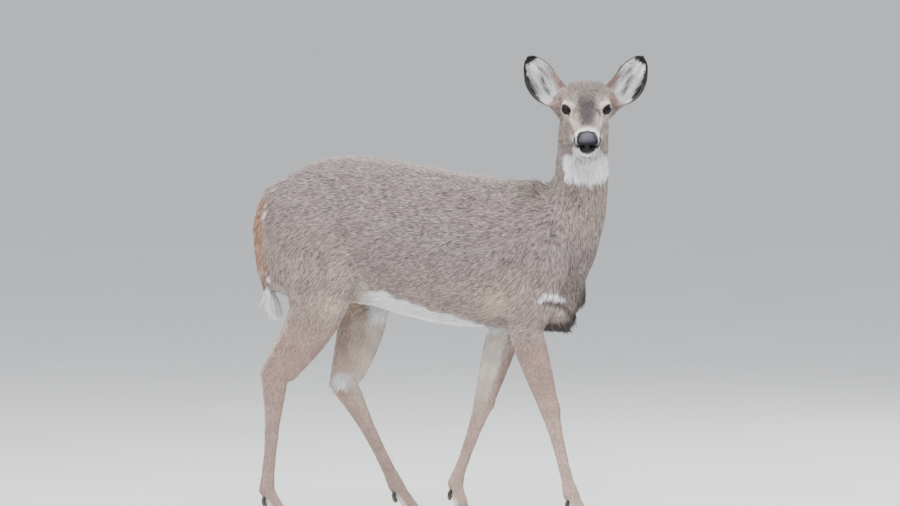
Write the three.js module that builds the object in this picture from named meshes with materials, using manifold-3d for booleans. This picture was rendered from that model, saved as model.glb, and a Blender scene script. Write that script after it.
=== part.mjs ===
// A white-tailed deer doe, life size, caught in mid-stride with her head turned to her right.
// Millimetres. +X runs towards her chest, +Y to her left, +Z up, and the floor is z = 0.
// Every soft form is a loft: a closed surface through cross-sections set along a limb or the body.
// The forms are joined into one body, which thin plane cuts then part into named pieces.

import * as THREE from 'three';
import { mergeVertices } from 'three/addons/utils/BufferGeometryUtils.js';
import Module from 'manifold-3d';

const wasm = await Module();
wasm.setup();

// ---- driving dimensions ----

const gap = 0.3; // clearance between neighbouring pieces
const originShift = [-70.8, 59.9, 0]; // puts the origin under the middle of the whole animal

const body = {
  croupHeight: 934, // highest point of the back
  withersHeight: 873,
  sternumHeight: 498,
  halfWidth: 143, // at the last ribs
};

// Joint centres of the four legs, [x, z], and the sideways place of each leg.
const legs = {
  front_leg_right: {
    kind: 'front', y: -84, joints: [[268, 540], [342, 308], [396, 97]],
    swing: 0, pastern: 33, hoofTilt: 0,
  },
  front_leg_left: {
    kind: 'front', y: 80, joints: [[214, 536], [148, 305], [77, 104]],
    swing: -44, pastern: 4, hoofTilt: 24,
  },
  hind_leg_right: {
    kind: 'hind', y: -92, joints: [[-205, 590], [-346, 375], [-371, 96]],
    swing: 0, pastern: 36, hoofTilt: 0,
  },
  hind_leg_left: {
    kind: 'hind', y: 92, joints: [[-133, 612], [-204, 350], [-77, 98]],
    swing: 44, pastern: 40, hoofTilt: 0,
  },
};

const head = {
  poll: [421, -15, 1073], // back of the skull
  yaw: -80, // turned to her right
  pitch: 22, // nose below the level
};

const ear = {
  root: [18, 64, 0], // in the head's own frame, on the left
  along: [-0.6, 0.56, 0.6],
  open: [0.91, 0, 0.42],
  length: 138,
  halfWidth: 39,
  depth: 30,
  wall: 4.5,
};

const eye = { at: [114, 45, 24.5], radius: 17 };

const hoof = { length: 66, height: 48, halfWidth: 10.5, toeFlat: 3 };

const colours = {
  coat: [0x94826f, 0.9],
  legs: [0xb08d6e, 0.9],
  face: [0x97826d, 0.9],
  ears: [0xcfc4b8, 0.9],
  tail: [0xa9795a, 0.9],
  eyes: [0x0c0a09, 0.12],
  nose: [0x17171b, 0.35],
  horn: [0x1c1a19, 0.45],
};

// ---- lofting ----

const vector = (p) => new THREE.Vector3(...p);
const smoothCurve = (points) => new THREE.CatmullRomCurve3(points, false, 'catmullrom', 0.5);

// A superellipse coordinate: power 2 is round, more is boxier, less is sharper.
const rounded = (value, power) => Math.sign(value) * Math.abs(value) ** (2 / power);

// Sections are { at, up, low, side, topPower, lowPower }: up and low reach along and against the
// hint direction, and side is the half width. The powers shape the upper and the lower half.
// Each section lies square to the line through the centres, or square to axis where that is given.
function loft(sections, { sides, hint, axis, grow = 0 }) {
  const centres = smoothCurve(sections.map((s) => vector(s.at)));
  const reaches = smoothCurve(sections.map((s) => vector([s.up, s.low, s.side])));
  const forms = smoothCurve(
    sections.map((s) => vector([s.topPower ?? 2, s.lowPower ?? 2, 0])),
  );
  const positions = [];
  const faces = [];
  const last = sections.length - 1;
  for (let i = 0; i <= last; i++) {
    const t = i / last;
    const centre = centres.getPoint(t);
    const along = axis ? vector(axis) : centres.getTangent(t);
    const reach = reaches.getPoint(t);
    const form = forms.getPoint(t);
    const ahead = vector(hint);
    ahead.addScaledVector(along, -ahead.dot(along)).normalize();
    const across = along.clone().cross(ahead);
    for (let j = 0; j < sides; j++) {
      const angle = (j / sides) * 2 * Math.PI;
      const power = Math.cos(angle) > 0 ? form.x : form.y;
      const high = (Math.cos(angle) > 0 ? reach.x : reach.y) + grow;
      const p = centre
        .clone()
        .addScaledVector(ahead, high * rounded(Math.cos(angle), power))
        .addScaledVector(across, (reach.z + grow) * rounded(Math.sin(angle), power));
      positions.push(p.x, p.y, p.z);
    }
  }
  const corner = (i, j) => i * sides + (j % sides);
  for (let i = 0; i < last; i++) {
    for (let j = 0; j < sides; j++) {
      faces.push(corner(i, j), corner(i, j + 1), corner(i + 1, j));
      faces.push(corner(i + 1, j), corner(i, j + 1), corner(i + 1, j + 1));
    }
  }
  const first = centres.getPoint(0);
  const end = centres.getPoint(1);
  positions.push(first.x, first.y, first.z, end.x, end.y, end.z);
  const firstCap = (last + 1) * sides;
  for (let j = 0; j < sides; j++) {
    faces.push(firstCap, corner(0, j + 1), corner(0, j));
    faces.push(firstCap + 1, corner(last, j), corner(last, j + 1));
  }
  return new THREE.BufferGeometry()
    .setAttribute('position', new THREE.Float32BufferAttribute(positions, 3))
    .setIndex(faces);
}

// ---- joining and cutting ----

function solid(geometry, matrix) {
  const bare = geometry.clone();
  bare.deleteAttribute('normal');
  bare.deleteAttribute('uv');
  if (matrix) bare.applyMatrix4(matrix);
  const merged = mergeVertices(bare, 1e-3);
  return new wasm.Manifold(
    new wasm.Mesh({
      numProp: 3,
      vertProperties: merged.attributes.position.array,
      triVerts: new Uint32Array(merged.index.array),
    }),
  );
}

const join = (...solids) => wasm.Manifold.union(solids);

// Splits a solid with planes, each a point and a normal: first the part that lies before them
// all, then what is left, with the gap between the two.
function split(whole, ...planes) {
  const trim = (part, [point, normal], side) => {
    const n = normal.clone().normalize().multiplyScalar(side);
    return part.trimByPlane(n.toArray(), n.dot(point) + gap / 2);
  };
  const before = planes.reduce((part, plane) => trim(part, plane, 1), whole);
  return [before, join(...planes.map((plane) => trim(whole, plane, -1)))];
}

const ellipsoid = (at, radii, matrix, rounds = 10) =>
  solid(
    new THREE.SphereGeometry(1, rounds, Math.round(rounds * 0.7)).scale(...radii).translate(...at),
    matrix,
  );

// ---- trunk and neck ----

// A cross-section of the trunk, upright, from its upper and lower heights.
function slab(x, top, bottom, widest, side, topPower = 1.9, lowPower = 2.1) {
  return { at: [x, 0, widest], up: top - widest, low: widest - bottom, side, topPower, lowPower };
}

function trunkForm() {
  const { croupHeight, withersHeight, sternumHeight, halfWidth } = body;
  return loft(
    [
      slab(-416, 772, 668, 725, 26),
      slab(-402, 812, 622, 722, 58),
      slab(-378, 852, 592, 728, 84),
      slab(-335, 883, 574, 738, 100),
      slab(-285, 911, 564, 745, 110),
      slab(-235, croupHeight - 6, 560, 748, 117),
      slab(-180, croupHeight, 558, 746, 122),
      slab(-110, croupHeight - 5, 550, 738, 129),
      slab(-38, croupHeight - 16, 529, 722, 138),
      slab(37, 905, 511, 706, halfWidth),
      slab(112, 891, sternumHeight + 5, 694, halfWidth - 1),
      slab(186, 880, sternumHeight, 684, 132),
      slab(246, withersHeight + 2, sternumHeight - 1, 676, 115),
      slab(300, withersHeight, sternumHeight, 668, 98),
      slab(343, 835, sternumHeight + 1, 620, 84),
      slab(374, 760, sternumHeight + 2, 600, 75),
      slab(395, 700, sternumHeight + 14, 590, 61),
      slab(409, 665, sternumHeight + 38, 590, 44),
      slab(419, 635, sternumHeight + 74, 600, 22),
    ],
    { sides: 20, hint: [0, 0, 1], axis: [1, 0, 0] },
  );
}

// The neck climbs from the chest and leans to her right, up to the back of the turned head.
function neckForm() {
  const rise = (x, y, z, up, low, side) => ({ at: [x, y, z], up, low, side, lowPower: 1.9 });
  return loft(
    [
      rise(290, 0, 660, 150, 140, 90),
      rise(350, 0, 735, 108, 116, 87),
      rise(389, -1, 806, 82, 90, 76),
      rise(407, -3, 876, 72, 74, 70),
      rise(413, -8, 940, 68, 68, 67),
      rise(416, -16, 998, 63, 64, 66),
      rise(419, -25, 1042, 56, 56, 58),
      rise(421, -34, 1074, 42, 42, 44),
      rise(421, -44, 1098, 27, 27, 28),
    ],
    { sides: 16, hint: [-1, 0, 0] },
  );
}

// ---- legs ----

// Sections along one bone: [share of its length, front, rear, side].
const frontBones = [
  [[0.18, 48, 45, 37], [0.42, 41, 42, 29], [0.68, 35, 36, 24], [0.88, 29, 30, 20]],
  [[0, 27, 28, 19], [0.14, 22, 23, 16], [0.32, 18, 19.5, 14], [0.6, 15, 17, 12.5], [0.85, 15, 18, 13.5]],
];
const hindBones = [
  [[0.3, 66, 76, 37], [0.5, 59, 62, 30], [0.7, 52, 55, 25], [0.86, 43, 51, 21]],
  [
    [0, 31, 47, 19], [0.1, 28, 37, 18], [0.24, 24, 29, 16],
    [0.42, 19, 22, 14], [0.65, 17, 18, 13], [0.87, 17, 19, 14],
  ],
];

// The shoulder and the thigh, from the spine down to the elbow or stifle, for the right side.
const shoulder = [
  { at: [286, -40, 826], up: 30, low: 32, side: 16 },
  { at: [298, -63, 780], up: 62, low: 64, side: 29 },
  { at: [310, -80, 718], up: 82, low: 86, side: 36 },
  { at: [314, -86, 648], up: 82, low: 88, side: 40 },
  { at: [296, -88, 588], up: 68, low: 66, side: 42 },
];
const thigh = [
  { at: [-268, -38, 858], up: 60, low: 66, side: 22 },
  { at: [-272, -62, 806], up: 100, low: 102, side: 42 },
  { at: [-260, -80, 738], up: 112, low: 118, side: 50 },
  { at: [-240, -89, 668], up: 104, low: 122, side: 51 },
  { at: [-221, -94, 606], up: 86, low: 112, side: 47 },
];

function alongBone(start, end, y, rows) {
  return rows.map(([share, up, low, side]) => ({
    at: [
      THREE.MathUtils.lerp(start[0], end[0], share),
      y,
      THREE.MathUtils.lerp(start[1], end[1], share),
    ],
    up,
    low,
    side,
  }));
}

// The hoof's own frame, at its toe tip, and the coronet above it. A hoof that is leaving the
// ground is tilted, and stands on a small flat at its toe.
function footPlan(leg) {
  const fetlock = leg.joints[2];
  const slope = THREE.MathUtils.degToRad(leg.pastern);
  const toeX = fetlock[0] + (fetlock[1] - hoof.height * 0.75) * Math.tan(slope) + hoof.length * 0.62;
  const matrix = new THREE.Matrix4()
    .makeTranslation(toeX, leg.y, leg.hoofTilt ? -hoof.toeFlat : 0)
    .multiply(new THREE.Matrix4().makeRotationY(THREE.MathUtils.degToRad(leg.hoofTilt)));
  const coronet = vector([-hoof.length * 0.76, 0, hoof.height * 0.72]).applyMatrix4(matrix);
  return { matrix, coronet };
}

function legForm(leg) {
  const [top, middle, fetlock] = leg.joints;
  const bones = leg.kind === 'front' ? frontBones : hindBones;
  const root = (leg.kind === 'front' ? shoulder : thigh).map((s, i, all) => ({
    ...s,
    at: [
      s.at[0] + leg.swing * (i / (all.length - 1)) ** 2,
      Math.sign(leg.y) * -s.at[1],
      s.at[2],
    ],
  }));
  const { coronet } = footPlan(leg);
  const ends = [
    { at: [fetlock[0], leg.y, fetlock[1]], up: 20, low: 23, side: 17 },
    {
      at: [(fetlock[0] * 2 + coronet.x) / 3, leg.y, (fetlock[1] * 2 + coronet.z) / 3],
      up: 17, low: 20, side: 16.5,
    },
    { at: [coronet.x, leg.y, coronet.z], up: 19, low: 17, side: 19 },
    { at: [coronet.x + 6, leg.y, coronet.z - 12], up: 16, low: 14, side: 16 },
  ];
  return loft(
    [
      ...root,
      ...alongBone(top, middle, leg.y, bones[0]),
      ...alongBone(middle, fetlock, leg.y, bones[1]),
      ...ends,
    ],
    { sides: 10, hint: [1, 0, 0] },
  );
}

// One claw of a hoof, its toe tip at the origin and its sole on the floor.
function claw(matrix, side) {
  const { length, height, halfWidth } = hoof;
  const slice = (share, top, wide, out) => ({
    at: [-length * share, side * out, height * top * 0.5],
    up: height * top * 0.5,
    low: height * top * 0.5 + 1,
    side: halfWidth * wide,
    topPower: 2.4,
    lowPower: 5,
  });
  return solid(
    loft(
      [
        slice(1, 0.42, 0.72, 10.6),
        slice(0.86, 0.62, 0.95, 11),
        slice(0.66, 0.9, 1, 10.8),
        slice(0.46, 0.78, 0.95, 10),
        slice(0.26, 0.46, 0.76, 8.6),
        slice(0.09, 0.2, 0.46, 6.6),
        slice(0.01, 0.1, 0.16, 5.4),
      ],
      { sides: 8, hint: [0, 0, 1], axis: [1, 0, 0] },
    ),
    matrix,
  );
}

// A dewclaw behind the pastern, pointing down. grow makes the pocket that it sits in.
function dewclaw(leg, side, grow = 0) {
  const { coronet } = footPlan(leg);
  const fetlock = vector([leg.joints[2][0], leg.y, leg.joints[2][1]]);
  const down = coronet.clone().sub(fetlock).normalize();
  const behind = vector([down.z, 0, -down.x]);
  const section = (drop, back, out, size) => {
    const at = fetlock.clone().addScaledVector(down, drop).addScaledVector(behind, back);
    return { at: [at.x, at.y + side * out, at.z], up: size, low: size, side: size };
  };
  return solid(
    loft(
      [section(12, 13, 9, 5), section(20, 20, 10, 6), section(30, 24, 11, 5), section(38, 25, 11, 2)],
      { sides: 6, hint: [1, 0, 0], grow },
    ),
  );
}

// ---- head ----

const headMatrix = new THREE.Matrix4()
  .makeTranslation(...head.poll)
  .multiply(new THREE.Matrix4().makeRotationZ(THREE.MathUtils.degToRad(head.yaw)))
  .multiply(new THREE.Matrix4().makeRotationY(THREE.MathUtils.degToRad(head.pitch)));

// Cross-sections of the head, from the poll forwards to the nose.
function headSlab(x, top, bottom, side, topPower = 2.2, lowPower = 2.2) {
  const middle = (top + bottom) / 2;
  return { at: [x, 0, middle], up: top - middle, low: middle - bottom, side, topPower, lowPower };
}

function skullForm() {
  return loft(
    [
      headSlab(-6, 36, -20, 30),
      headSlab(8, 53, -36, 47, 2.6),
      headSlab(30, 65, -48, 55, 2.8),
      headSlab(56, 70, -54, 60, 2.9),
      headSlab(84, 68, -52, 60, 2.8),
      headSlab(106, 61, -48, 56, 2.6),
      headSlab(124, 53, -42, 46, 2.5),
      headSlab(146, 43, -37, 39, 2.4),
      headSlab(174, 34, -34, 35, 2.4),
      headSlab(204, 27, -32, 32.5, 2.4),
      headSlab(230, 23, -31, 32, 2.4),
      headSlab(250, 19, -31, 32, 2.4),
      headSlab(263, 11, -29, 27, 2.3),
      headSlab(270, 1, -22, 16),
    ],
    { sides: 18, hint: [0, 0, 1], axis: [1, 0, 0] },
  );
}

function jawForm() {
  return loft(
    [
      headSlab(24, -4, -54, 42),
      headSlab(52, -4, -77, 57),
      headSlab(86, -6, -81, 55),
      headSlab(125, -8, -72, 41),
      headSlab(165, -8, -62, 30),
      headSlab(200, -10, -55, 24),
      headSlab(230, -12, -54, 22),
      headSlab(248, -14, -53, 18),
      headSlab(257, -20, -45, 10),
    ],
    { sides: 12, hint: [0, 0, 1], axis: [1, 0, 0] },
  );
}

const onSide = ([x, y, z], side) => [x, side * y, z];

function headForm() {
  const forms = [solid(skullForm(), headMatrix), solid(jawForm(), headMatrix)];
  for (const side of [1, -1]) {
    forms.push(ellipsoid(onSide([100, 45, 37], side), [24, 14, 13], headMatrix, 8)); // brow
    forms.push(ellipsoid(onSide([8, 53, -8], side), [27, 30, 44], headMatrix)); // ear root
  }
  return join(...forms);
}

// One ear: a cupped leaf, open towards its front, with a solid root.
function earForm(side) {
  const along = vector(onSide(ear.along, side)).normalize();
  const open = vector(ear.open);
  open.addScaledVector(along, -open.dot(along)).normalize();
  const wide = along.clone().cross(open).multiplyScalar(side);
  // [share of the length, inner and outer half widths, depth, wall] as shares of the ear's own sizes
  const rows = [
    [-0.04, 0.8, 0.7, 0.8, 1], [0.05, 0.92, 0.82, 0.95, 0.95], [0.16, 0.94, 0.97, 1, 0.5],
    [0.31, 0.88, 1.2, 0.9, 0.2], [0.48, 0.84, 1.26, 0.72, 0.16], [0.65, 0.85, 1.14, 0.52, 0.16],
    [0.8, 0.69, 0.85, 0.36, 0.15], [0.91, 0.5, 0.56, 0.24, 0.13], [0.98, 0.24, 0.25, 0.14, 0.1],
  ];
  const arc = 7;
  const positions = [];
  const root = vector(onSide(ear.root, side));
  for (const [share, innerShare, outerShare, depthShare, wallShare] of rows) {
    const centre = root.clone().addScaledVector(along, share * ear.length);
    centre.addScaledVector(open, 12 * share * share);
    const depth = ear.depth * depthShare;
    const wall = Math.max(ear.wall * 0.7, ear.depth * wallShare * 0.97);
    for (const inner of [false, true]) {
      for (let k = 0; k <= arc; k++) {
        const angle = ((inner ? arc - k : k) / arc - 0.5) * Math.PI;
        const half = ear.halfWidth * (Math.sin(angle) * side > 0 ? outerShare : innerShare);
        const reach = inner ? half - Math.min(wall, 3) : half;
        const dip = inner ? Math.max(depth - wall, -3) : depth;
        const p = centre
          .clone()
          .addScaledVector(wide, side * reach * Math.sin(angle))
          .addScaledVector(open, -dip * Math.cos(angle));
        positions.push(p.x, p.y, p.z);
      }
    }
  }
  const ring = 2 * (arc + 1);
  const faces = [];
  for (let i = 0; i < rows.length - 1; i++) {
    for (let j = 0; j < ring; j++) {
      const a = i * ring + j;
      const b = i * ring + ((j + 1) % ring);
      faces.push(a, a + ring, b, b, a + ring, b + ring);
    }
  }
  for (let k = 0; k < arc; k++) {
    const outer = k;
    const inner = ring - 1 - k;
    faces.push(outer, outer + 1, inner, inner, outer + 1, inner - 1);
    const up = (rows.length - 1) * ring;
    faces.push(up + outer, up + inner, up + outer + 1, up + inner, up + inner - 1, up + outer + 1);
  }
  const geometry = new THREE.BufferGeometry()
    .setAttribute('position', new THREE.Float32BufferAttribute(positions, 3))
    .setIndex(faces);
  return solid(geometry, headMatrix);
}

// ---- tail ----

const tailRoot = [-385, 0, 822];

function tailForm() {
  const lie = (x, z, up, low, side) => ({ at: [x, 0, z], up, low, side });
  return loft(
    [
      lie(-345, 856, 22, 24, 30),
      lie(-375, 836, 20, 24, 36),
      lie(-396, 800, 17, 20, 42),
      lie(-408, 752, 15, 17, 48),
      lie(-407, 700, 14, 15, 53),
      lie(-400, 650, 14, 14, 53),
      lie(-389, 605, 13, 13, 47),
      lie(-376, 566, 11, 11, 33),
      lie(-364, 540, 7, 7, 15),
      lie(-358, 529, 3, 3, 5),
    ],
    { sides: 10, hint: [-1, 0, 0.4] },
  );
}

// ---- assembly ----

const group = new THREE.Group();
group.position.set(...originShift);

function add(name, made, colour) {
  const mesh = made.getMesh();
  const positions = new Float32Array(mesh.numVert * 3);
  for (let i = 0; i < mesh.numVert; i++) {
    positions.set(mesh.vertProperties.subarray(i * mesh.numProp, i * mesh.numProp + 3), i * 3);
  }
  const geometry = new THREE.BufferGeometry()
    .setAttribute('position', new THREE.BufferAttribute(positions, 3))
    .setIndex(new THREE.BufferAttribute(mesh.triVerts, 1));
  geometry.computeVertexNormals();
  const [hex, roughness] = colours[colour];
  const material = new THREE.MeshStandardMaterial({ color: hex, roughness, metalness: 0 });
  const piece = new THREE.Mesh(geometry, material);
  piece.name = name;
  group.add(piece);
}

// Adds the pieces of each leg and returns the body with the four shoulders and thighs on it.
function addLegs(whole) {
  let rest = whole;
  for (const [name, leg] of Object.entries(legs)) {
    const [top, middle, fetlock] = leg.joints.map(([x, z]) => vector([x, leg.y, z]));
    const upperBone = middle.clone().sub(top).normalize();
    const shin = fetlock.clone().sub(middle).normalize();
    const armpit = vector(leg.kind === 'front' ? [280, leg.y, 478] : [-200, leg.y, 520]);
    const knee = middle.clone().addScaledVector(shin, 34);
    const ankle = fetlock.clone().addScaledVector(shin, -26);
    const [lower, upper] = split(
      solid(legForm(leg)),
      [armpit, upperBone.lerp(vector([0, 0, -1]), 0.7)],
    );
    const [belowKnee, aboveKnee] = split(lower, [knee, shin]);
    const [footAndHoof, cannon] = split(belowKnee, [ankle, shin]);
    rest = rest.add(upper);
    add(`${name}_${leg.kind === 'front' ? 'forearm' : 'gaskin'}`, aboveKnee, 'legs');
    add(`${name}_cannon`, cannon, 'legs');

    const { matrix } = footPlan(leg);
    const coronet = [
      vector([-hoof.length * 0.5, 0, hoof.height * 0.82]).applyMatrix4(matrix),
      vector([-0.56, 0, 0.83]).transformDirection(matrix),
    ];
    let foot = split(footAndHoof, coronet)[0];
    for (const [place, side] of [['inner', -Math.sign(leg.y)], ['outer', Math.sign(leg.y)]]) {
      const horn = split(claw(matrix, side), coronet)[1];
      add(`${name}_hoof_${place}`, horn.trimByPlane([0, 0, 1], 0), 'horn');
      add(`${name}_dewclaw_${place}`, dewclaw(leg, side), 'horn');
      foot = foot.subtract(dewclaw(leg, side, gap));
    }
    add(`${name}_foot`, foot, 'legs');
  }
  return rest;
}

const inHead = (p) => vector(p).applyMatrix4(headMatrix);
const headDirection = (p) => vector(p).transformDirection(headMatrix);

function build() {
  let whole = addLegs(join(solid(trunkForm()), solid(neckForm())));

  const [tail, tailStub] = split(solid(tailForm()), [vector(tailRoot), vector([-0.75, 0, -0.66])]);
  whole = whole.add(tailStub);
  add('tail', tail.subtract(join(whole, whole.translate([-gap, 0, 0]))), 'tail');

  const [neckBase, trunk] = split(whole, [vector([322, 0, 868]), vector([0.886, 0, 0.464])]);
  add('trunk', trunk, 'coat');

  let neckAndHead = neckBase.add(headForm());
  for (const [name, side] of [['left', 1], ['right', -1]]) {
    const along = vector(onSide(ear.along, side)).normalize();
    const seat = vector(onSide(ear.root, side)).addScaledVector(along, 14);
    const [leaf, stub] = split(
      earForm(side),
      [seat.applyMatrix4(headMatrix), along.transformDirection(headMatrix)],
    );
    add(`ear_${name}`, leaf, 'ears');
    const ball = (grow) =>
      ellipsoid(onSide(eye.at, side), Array(3).fill(eye.radius + grow), headMatrix, 12);
    add(`eye_${name}`, ball(0), 'eyes');
    neckAndHead = neckAndHead.add(stub).subtract(leaf).subtract(ball(gap));
  }
  const nape = [inHead([14, 0, 0]), headDirection([1, 0, 0.1])];
  const underJaw = [inHead([60, 0, -83]), headDirection([0, 0, 1])];
  const [head, neck] = split(neckAndHead, nape, underJaw);
  add('neck', neck, 'coat');

  const [nose, face] = split(head, [inHead([250, 0, 8]), headDirection([0.9, 0, 0.43])]);
  add('head', face, 'face');
  const nostril = (side) => ellipsoid(onSide([262, 19, -13], side), [9, 5.5, 7.5], headMatrix, 7);
  add('nose', nose.subtract(join(nostril(1), nostril(-1))), 'nose');
}

build();
export default group;
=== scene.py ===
import math

import bmesh
import bpy
import numpy as np
from mathutils import Matrix, Vector
from mathutils.bvhtree import BVHTree


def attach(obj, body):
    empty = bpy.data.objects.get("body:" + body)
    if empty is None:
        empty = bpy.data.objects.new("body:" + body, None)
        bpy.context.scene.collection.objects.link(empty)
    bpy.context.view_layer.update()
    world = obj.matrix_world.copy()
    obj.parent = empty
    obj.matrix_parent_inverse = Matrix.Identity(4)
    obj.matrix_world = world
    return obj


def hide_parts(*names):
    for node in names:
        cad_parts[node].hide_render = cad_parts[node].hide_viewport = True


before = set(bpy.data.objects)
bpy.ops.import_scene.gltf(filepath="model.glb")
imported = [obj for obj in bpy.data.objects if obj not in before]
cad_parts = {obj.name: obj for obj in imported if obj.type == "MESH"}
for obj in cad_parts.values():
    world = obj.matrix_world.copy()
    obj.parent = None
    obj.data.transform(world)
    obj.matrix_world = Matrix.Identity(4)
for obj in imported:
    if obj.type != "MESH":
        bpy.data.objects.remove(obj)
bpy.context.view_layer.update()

midline = np.array((-0.0708, 0.0599, 0.0))  # the doe's own zero: the floor under her flank
poll = Vector((0.3502, 0.0449, 1.073))  # back of the skull
headTurn = Matrix.Translation(poll) @ Matrix.Rotation(math.radians(-80), 4, "Z")
headTurn = headTurn @ Matrix.Rotation(math.radians(22), 4, "Y")
headFrame = np.array(headTurn)
headSpin = headFrame[:3, :3]

# where each leg bends, from the top down, in the doe's own x, y, z
legLines = {
    "front_leg_right": ((0.268, -0.084, 0.540), (0.342, -0.084, 0.308), (0.396, -0.084, 0.097)),
    "front_leg_left": ((0.214, 0.080, 0.536), (0.148, 0.080, 0.305), (0.077, 0.080, 0.104)),
    "hind_leg_right": ((-0.205, -0.092, 0.590), (-0.346, -0.092, 0.375), (-0.371, -0.092, 0.096)),
    "hind_leg_left": ((-0.133, 0.092, 0.612), (-0.204, 0.092, 0.350), (-0.077, 0.092, 0.098)),
}


def soft(value, low, high):  # smooth step from 0 at low to 1 at high
    t = np.clip((np.asarray(value, float) - low) / (high - low), 0, 1)
    return t * t * (3 - 2 * t)


def fade(value, low, high):  # the reverse: 1 up to low, 0 from high
    return soft(-np.asarray(value), -high, -low)


def bump(points, centre, radii):  # 1 at the centre, 0 outside the radii
    away = np.linalg.norm((points - np.asarray(centre)) / np.asarray(radii), axis=1)
    return soft(1 - away, 0, 1)


def ripple(points, size, seed, waves=10):  # smooth random field of about unit spread
    pick = np.random.default_rng(seed)
    turns = pick.normal(size=(waves, 3))
    turns *= (2 * math.pi / size * pick.uniform(0.6, 1.5, waves) / np.linalg.norm(turns, axis=1))[:, None]
    return np.sin(points @ turns.T + pick.uniform(0, 6.28, waves)).sum(1) / math.sqrt(waves / 2)


def unit(vectors):
    return vectors / np.maximum(np.linalg.norm(vectors, axis=-1, keepdims=True), 1e-12)


def toHead(points):  # world to the head's own frame
    return (points - headFrame[:3, 3]) @ headSpin


def fromHead(points):
    return np.asarray(points) @ headSpin.T + headFrame[:3, 3]


def linear(code):  # a hex tone as linear light
    channels = np.array([int(code[i : i + 2], 16) for i in (0, 2, 4)]) / 255
    return np.where(channels > 0.04045, ((channels + 0.055) / 1.055) ** 2.4, channels / 12.92)


def vertexNormals(points, triangles):
    corner = points[triangles]
    across = np.cross(corner[:, 1] - corner[:, 0], corner[:, 2] - corner[:, 0])
    total = np.zeros_like(points)
    for k in range(3):
        for axis in range(3):
            total[:, axis] += np.bincount(triangles[:, k], across[:, axis], len(points))
    return unit(total)


def edgesOf(triangles):
    pairs = np.concatenate([triangles[:, (0, 1)], triangles[:, (1, 2)], triangles[:, (2, 0)]])
    pairs.sort(axis=1)
    return np.unique(pairs, axis=0)


def neighbourMean(values, edges):
    count = np.bincount(edges.ravel(), minlength=len(values))
    out = np.empty_like(values)
    for axis in range(values.shape[1]):
        total = np.bincount(edges[:, 0], values[edges[:, 1], axis], len(values))
        total += np.bincount(edges[:, 1], values[edges[:, 0], axis], len(values))
        out[:, axis] = total / np.maximum(count, 1)
    return out


def relax(points, edges, rounds, steps, weight=1.0):  # moves points towards their neighbours' mean
    for _ in range(rounds):
        for step in steps:
            points = points + step * weight * (neighbourMean(points, edges) - points)
    return points


def gridFaces(a, b, c, d):  # two triangles for each cell between the corners a, b, c and d
    return np.concatenate([np.stack(face, -1).reshape(-1, 3) for face in ([a, b, c], [c, b, d])])


def facingOut(points, triangles, centre):  # turned round if they face the centre
    corner = points[triangles]
    cross = np.cross(corner[:, 1] - corner[:, 0], corner[:, 2] - corner[:, 0])
    return triangles if ((corner[:, 0] - centre) * cross).sum(1).mean() >= 0 else triangles[:, ::-1]


def splitEdges(points, triangles, wanted, **how):  # cuts the wanted edges in two
    mesh = makeMesh("split", points, triangles)
    form = bmesh.new()
    form.from_mesh(mesh)
    form.verts.ensure_lookup_table()
    chosen = [edge for edge in form.edges if wanted(edge)]
    bmesh.ops.subdivide_edges(form, edges=chosen, cuts=1, **how)
    bmesh.ops.triangulate(form, faces=[f for f in form.faces if len(f.verts) > 3])
    form.to_mesh(mesh)
    form.free()
    return readMesh(mesh)


def makeMesh(name, points, triangles, smooth=True):
    mesh = bpy.data.meshes.new(name)
    mesh.vertices.add(len(points))
    mesh.vertices.foreach_set("co", np.asarray(points, np.float32).ravel())
    mesh.loops.add(triangles.size)
    mesh.loops.foreach_set("vertex_index", np.asarray(triangles, np.int32).ravel())
    mesh.polygons.add(len(triangles))
    mesh.polygons.foreach_set("loop_start", np.arange(0, triangles.size, 3, dtype=np.int32))
    mesh.polygons.foreach_set("use_smooth", np.full(len(triangles), smooth))
    mesh.update(calc_edges=True)
    return mesh


def readMesh(mesh):
    points = np.empty(len(mesh.vertices) * 3, np.float32)
    mesh.vertices.foreach_get("co", points)
    mesh.calc_loop_triangles()
    triangles = np.empty(len(mesh.loop_triangles) * 3, np.int32)
    mesh.loop_triangles.foreach_get("vertices", triangles)
    return points.reshape(-1, 3).astype(float), triangles.reshape(-1, 3)


def addObject(name, mesh, material=None, replaced=()):
    made = bpy.data.objects.new(name, mesh)
    bpy.context.scene.collection.objects.link(made)
    if material:
        mesh.materials.append(material)
    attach(made, "root")
    if replaced:
        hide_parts(*replaced)
    return made


def setPaint(mesh, colours):  # the tone of each vertex, read by the materials
    layer = mesh.color_attributes.new("paint", "FLOAT_COLOR", "POINT")
    full = np.ones((len(colours), 4), np.float32)
    full[:, :3] = colours
    layer.data.foreach_set("color", full.ravel())


skinSize = {
    "voxel": 0.0024,
    "broad": 100,  # rounds of smoothing where the flesh is thick
    "fine": 12,  # rounds that take off steps and keep the size
    "share": 0.085,  # of the faces, kept when the body is thinned
    "longest": 0.0095,
    "legKeep": 0.4,
}

fleshNodes = [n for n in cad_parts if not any(word in n for word in ("eye", "hoof", "dewclaw"))]
filledNodes = [n for n in fleshNodes if "ear_" not in n] + ["eye_left", "eye_right"]


def fleshShell():
    points, triangles, owners, start = [], [], [], 0
    for index, name in enumerate(filledNodes):
        nodePoints, nodeTriangles = readMesh(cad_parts[name].data)
        points.append(nodePoints)
        triangles.append(nodeTriangles + start)
        owners.append(np.full(len(nodeTriangles), index))
        start += len(nodePoints)
    return np.concatenate(points), np.concatenate(triangles), np.concatenate(owners)


def evaluated(mesh, setUp):  # a mesh with one modifier applied
    helper = bpy.data.objects.new("helper", mesh)
    bpy.context.scene.collection.objects.link(helper)
    setUp(helper)
    made = bpy.data.meshes.new_from_object(helper.evaluated_get(bpy.context.evaluated_depsgraph_get()))
    bpy.data.objects.remove(helper)
    return made


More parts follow.
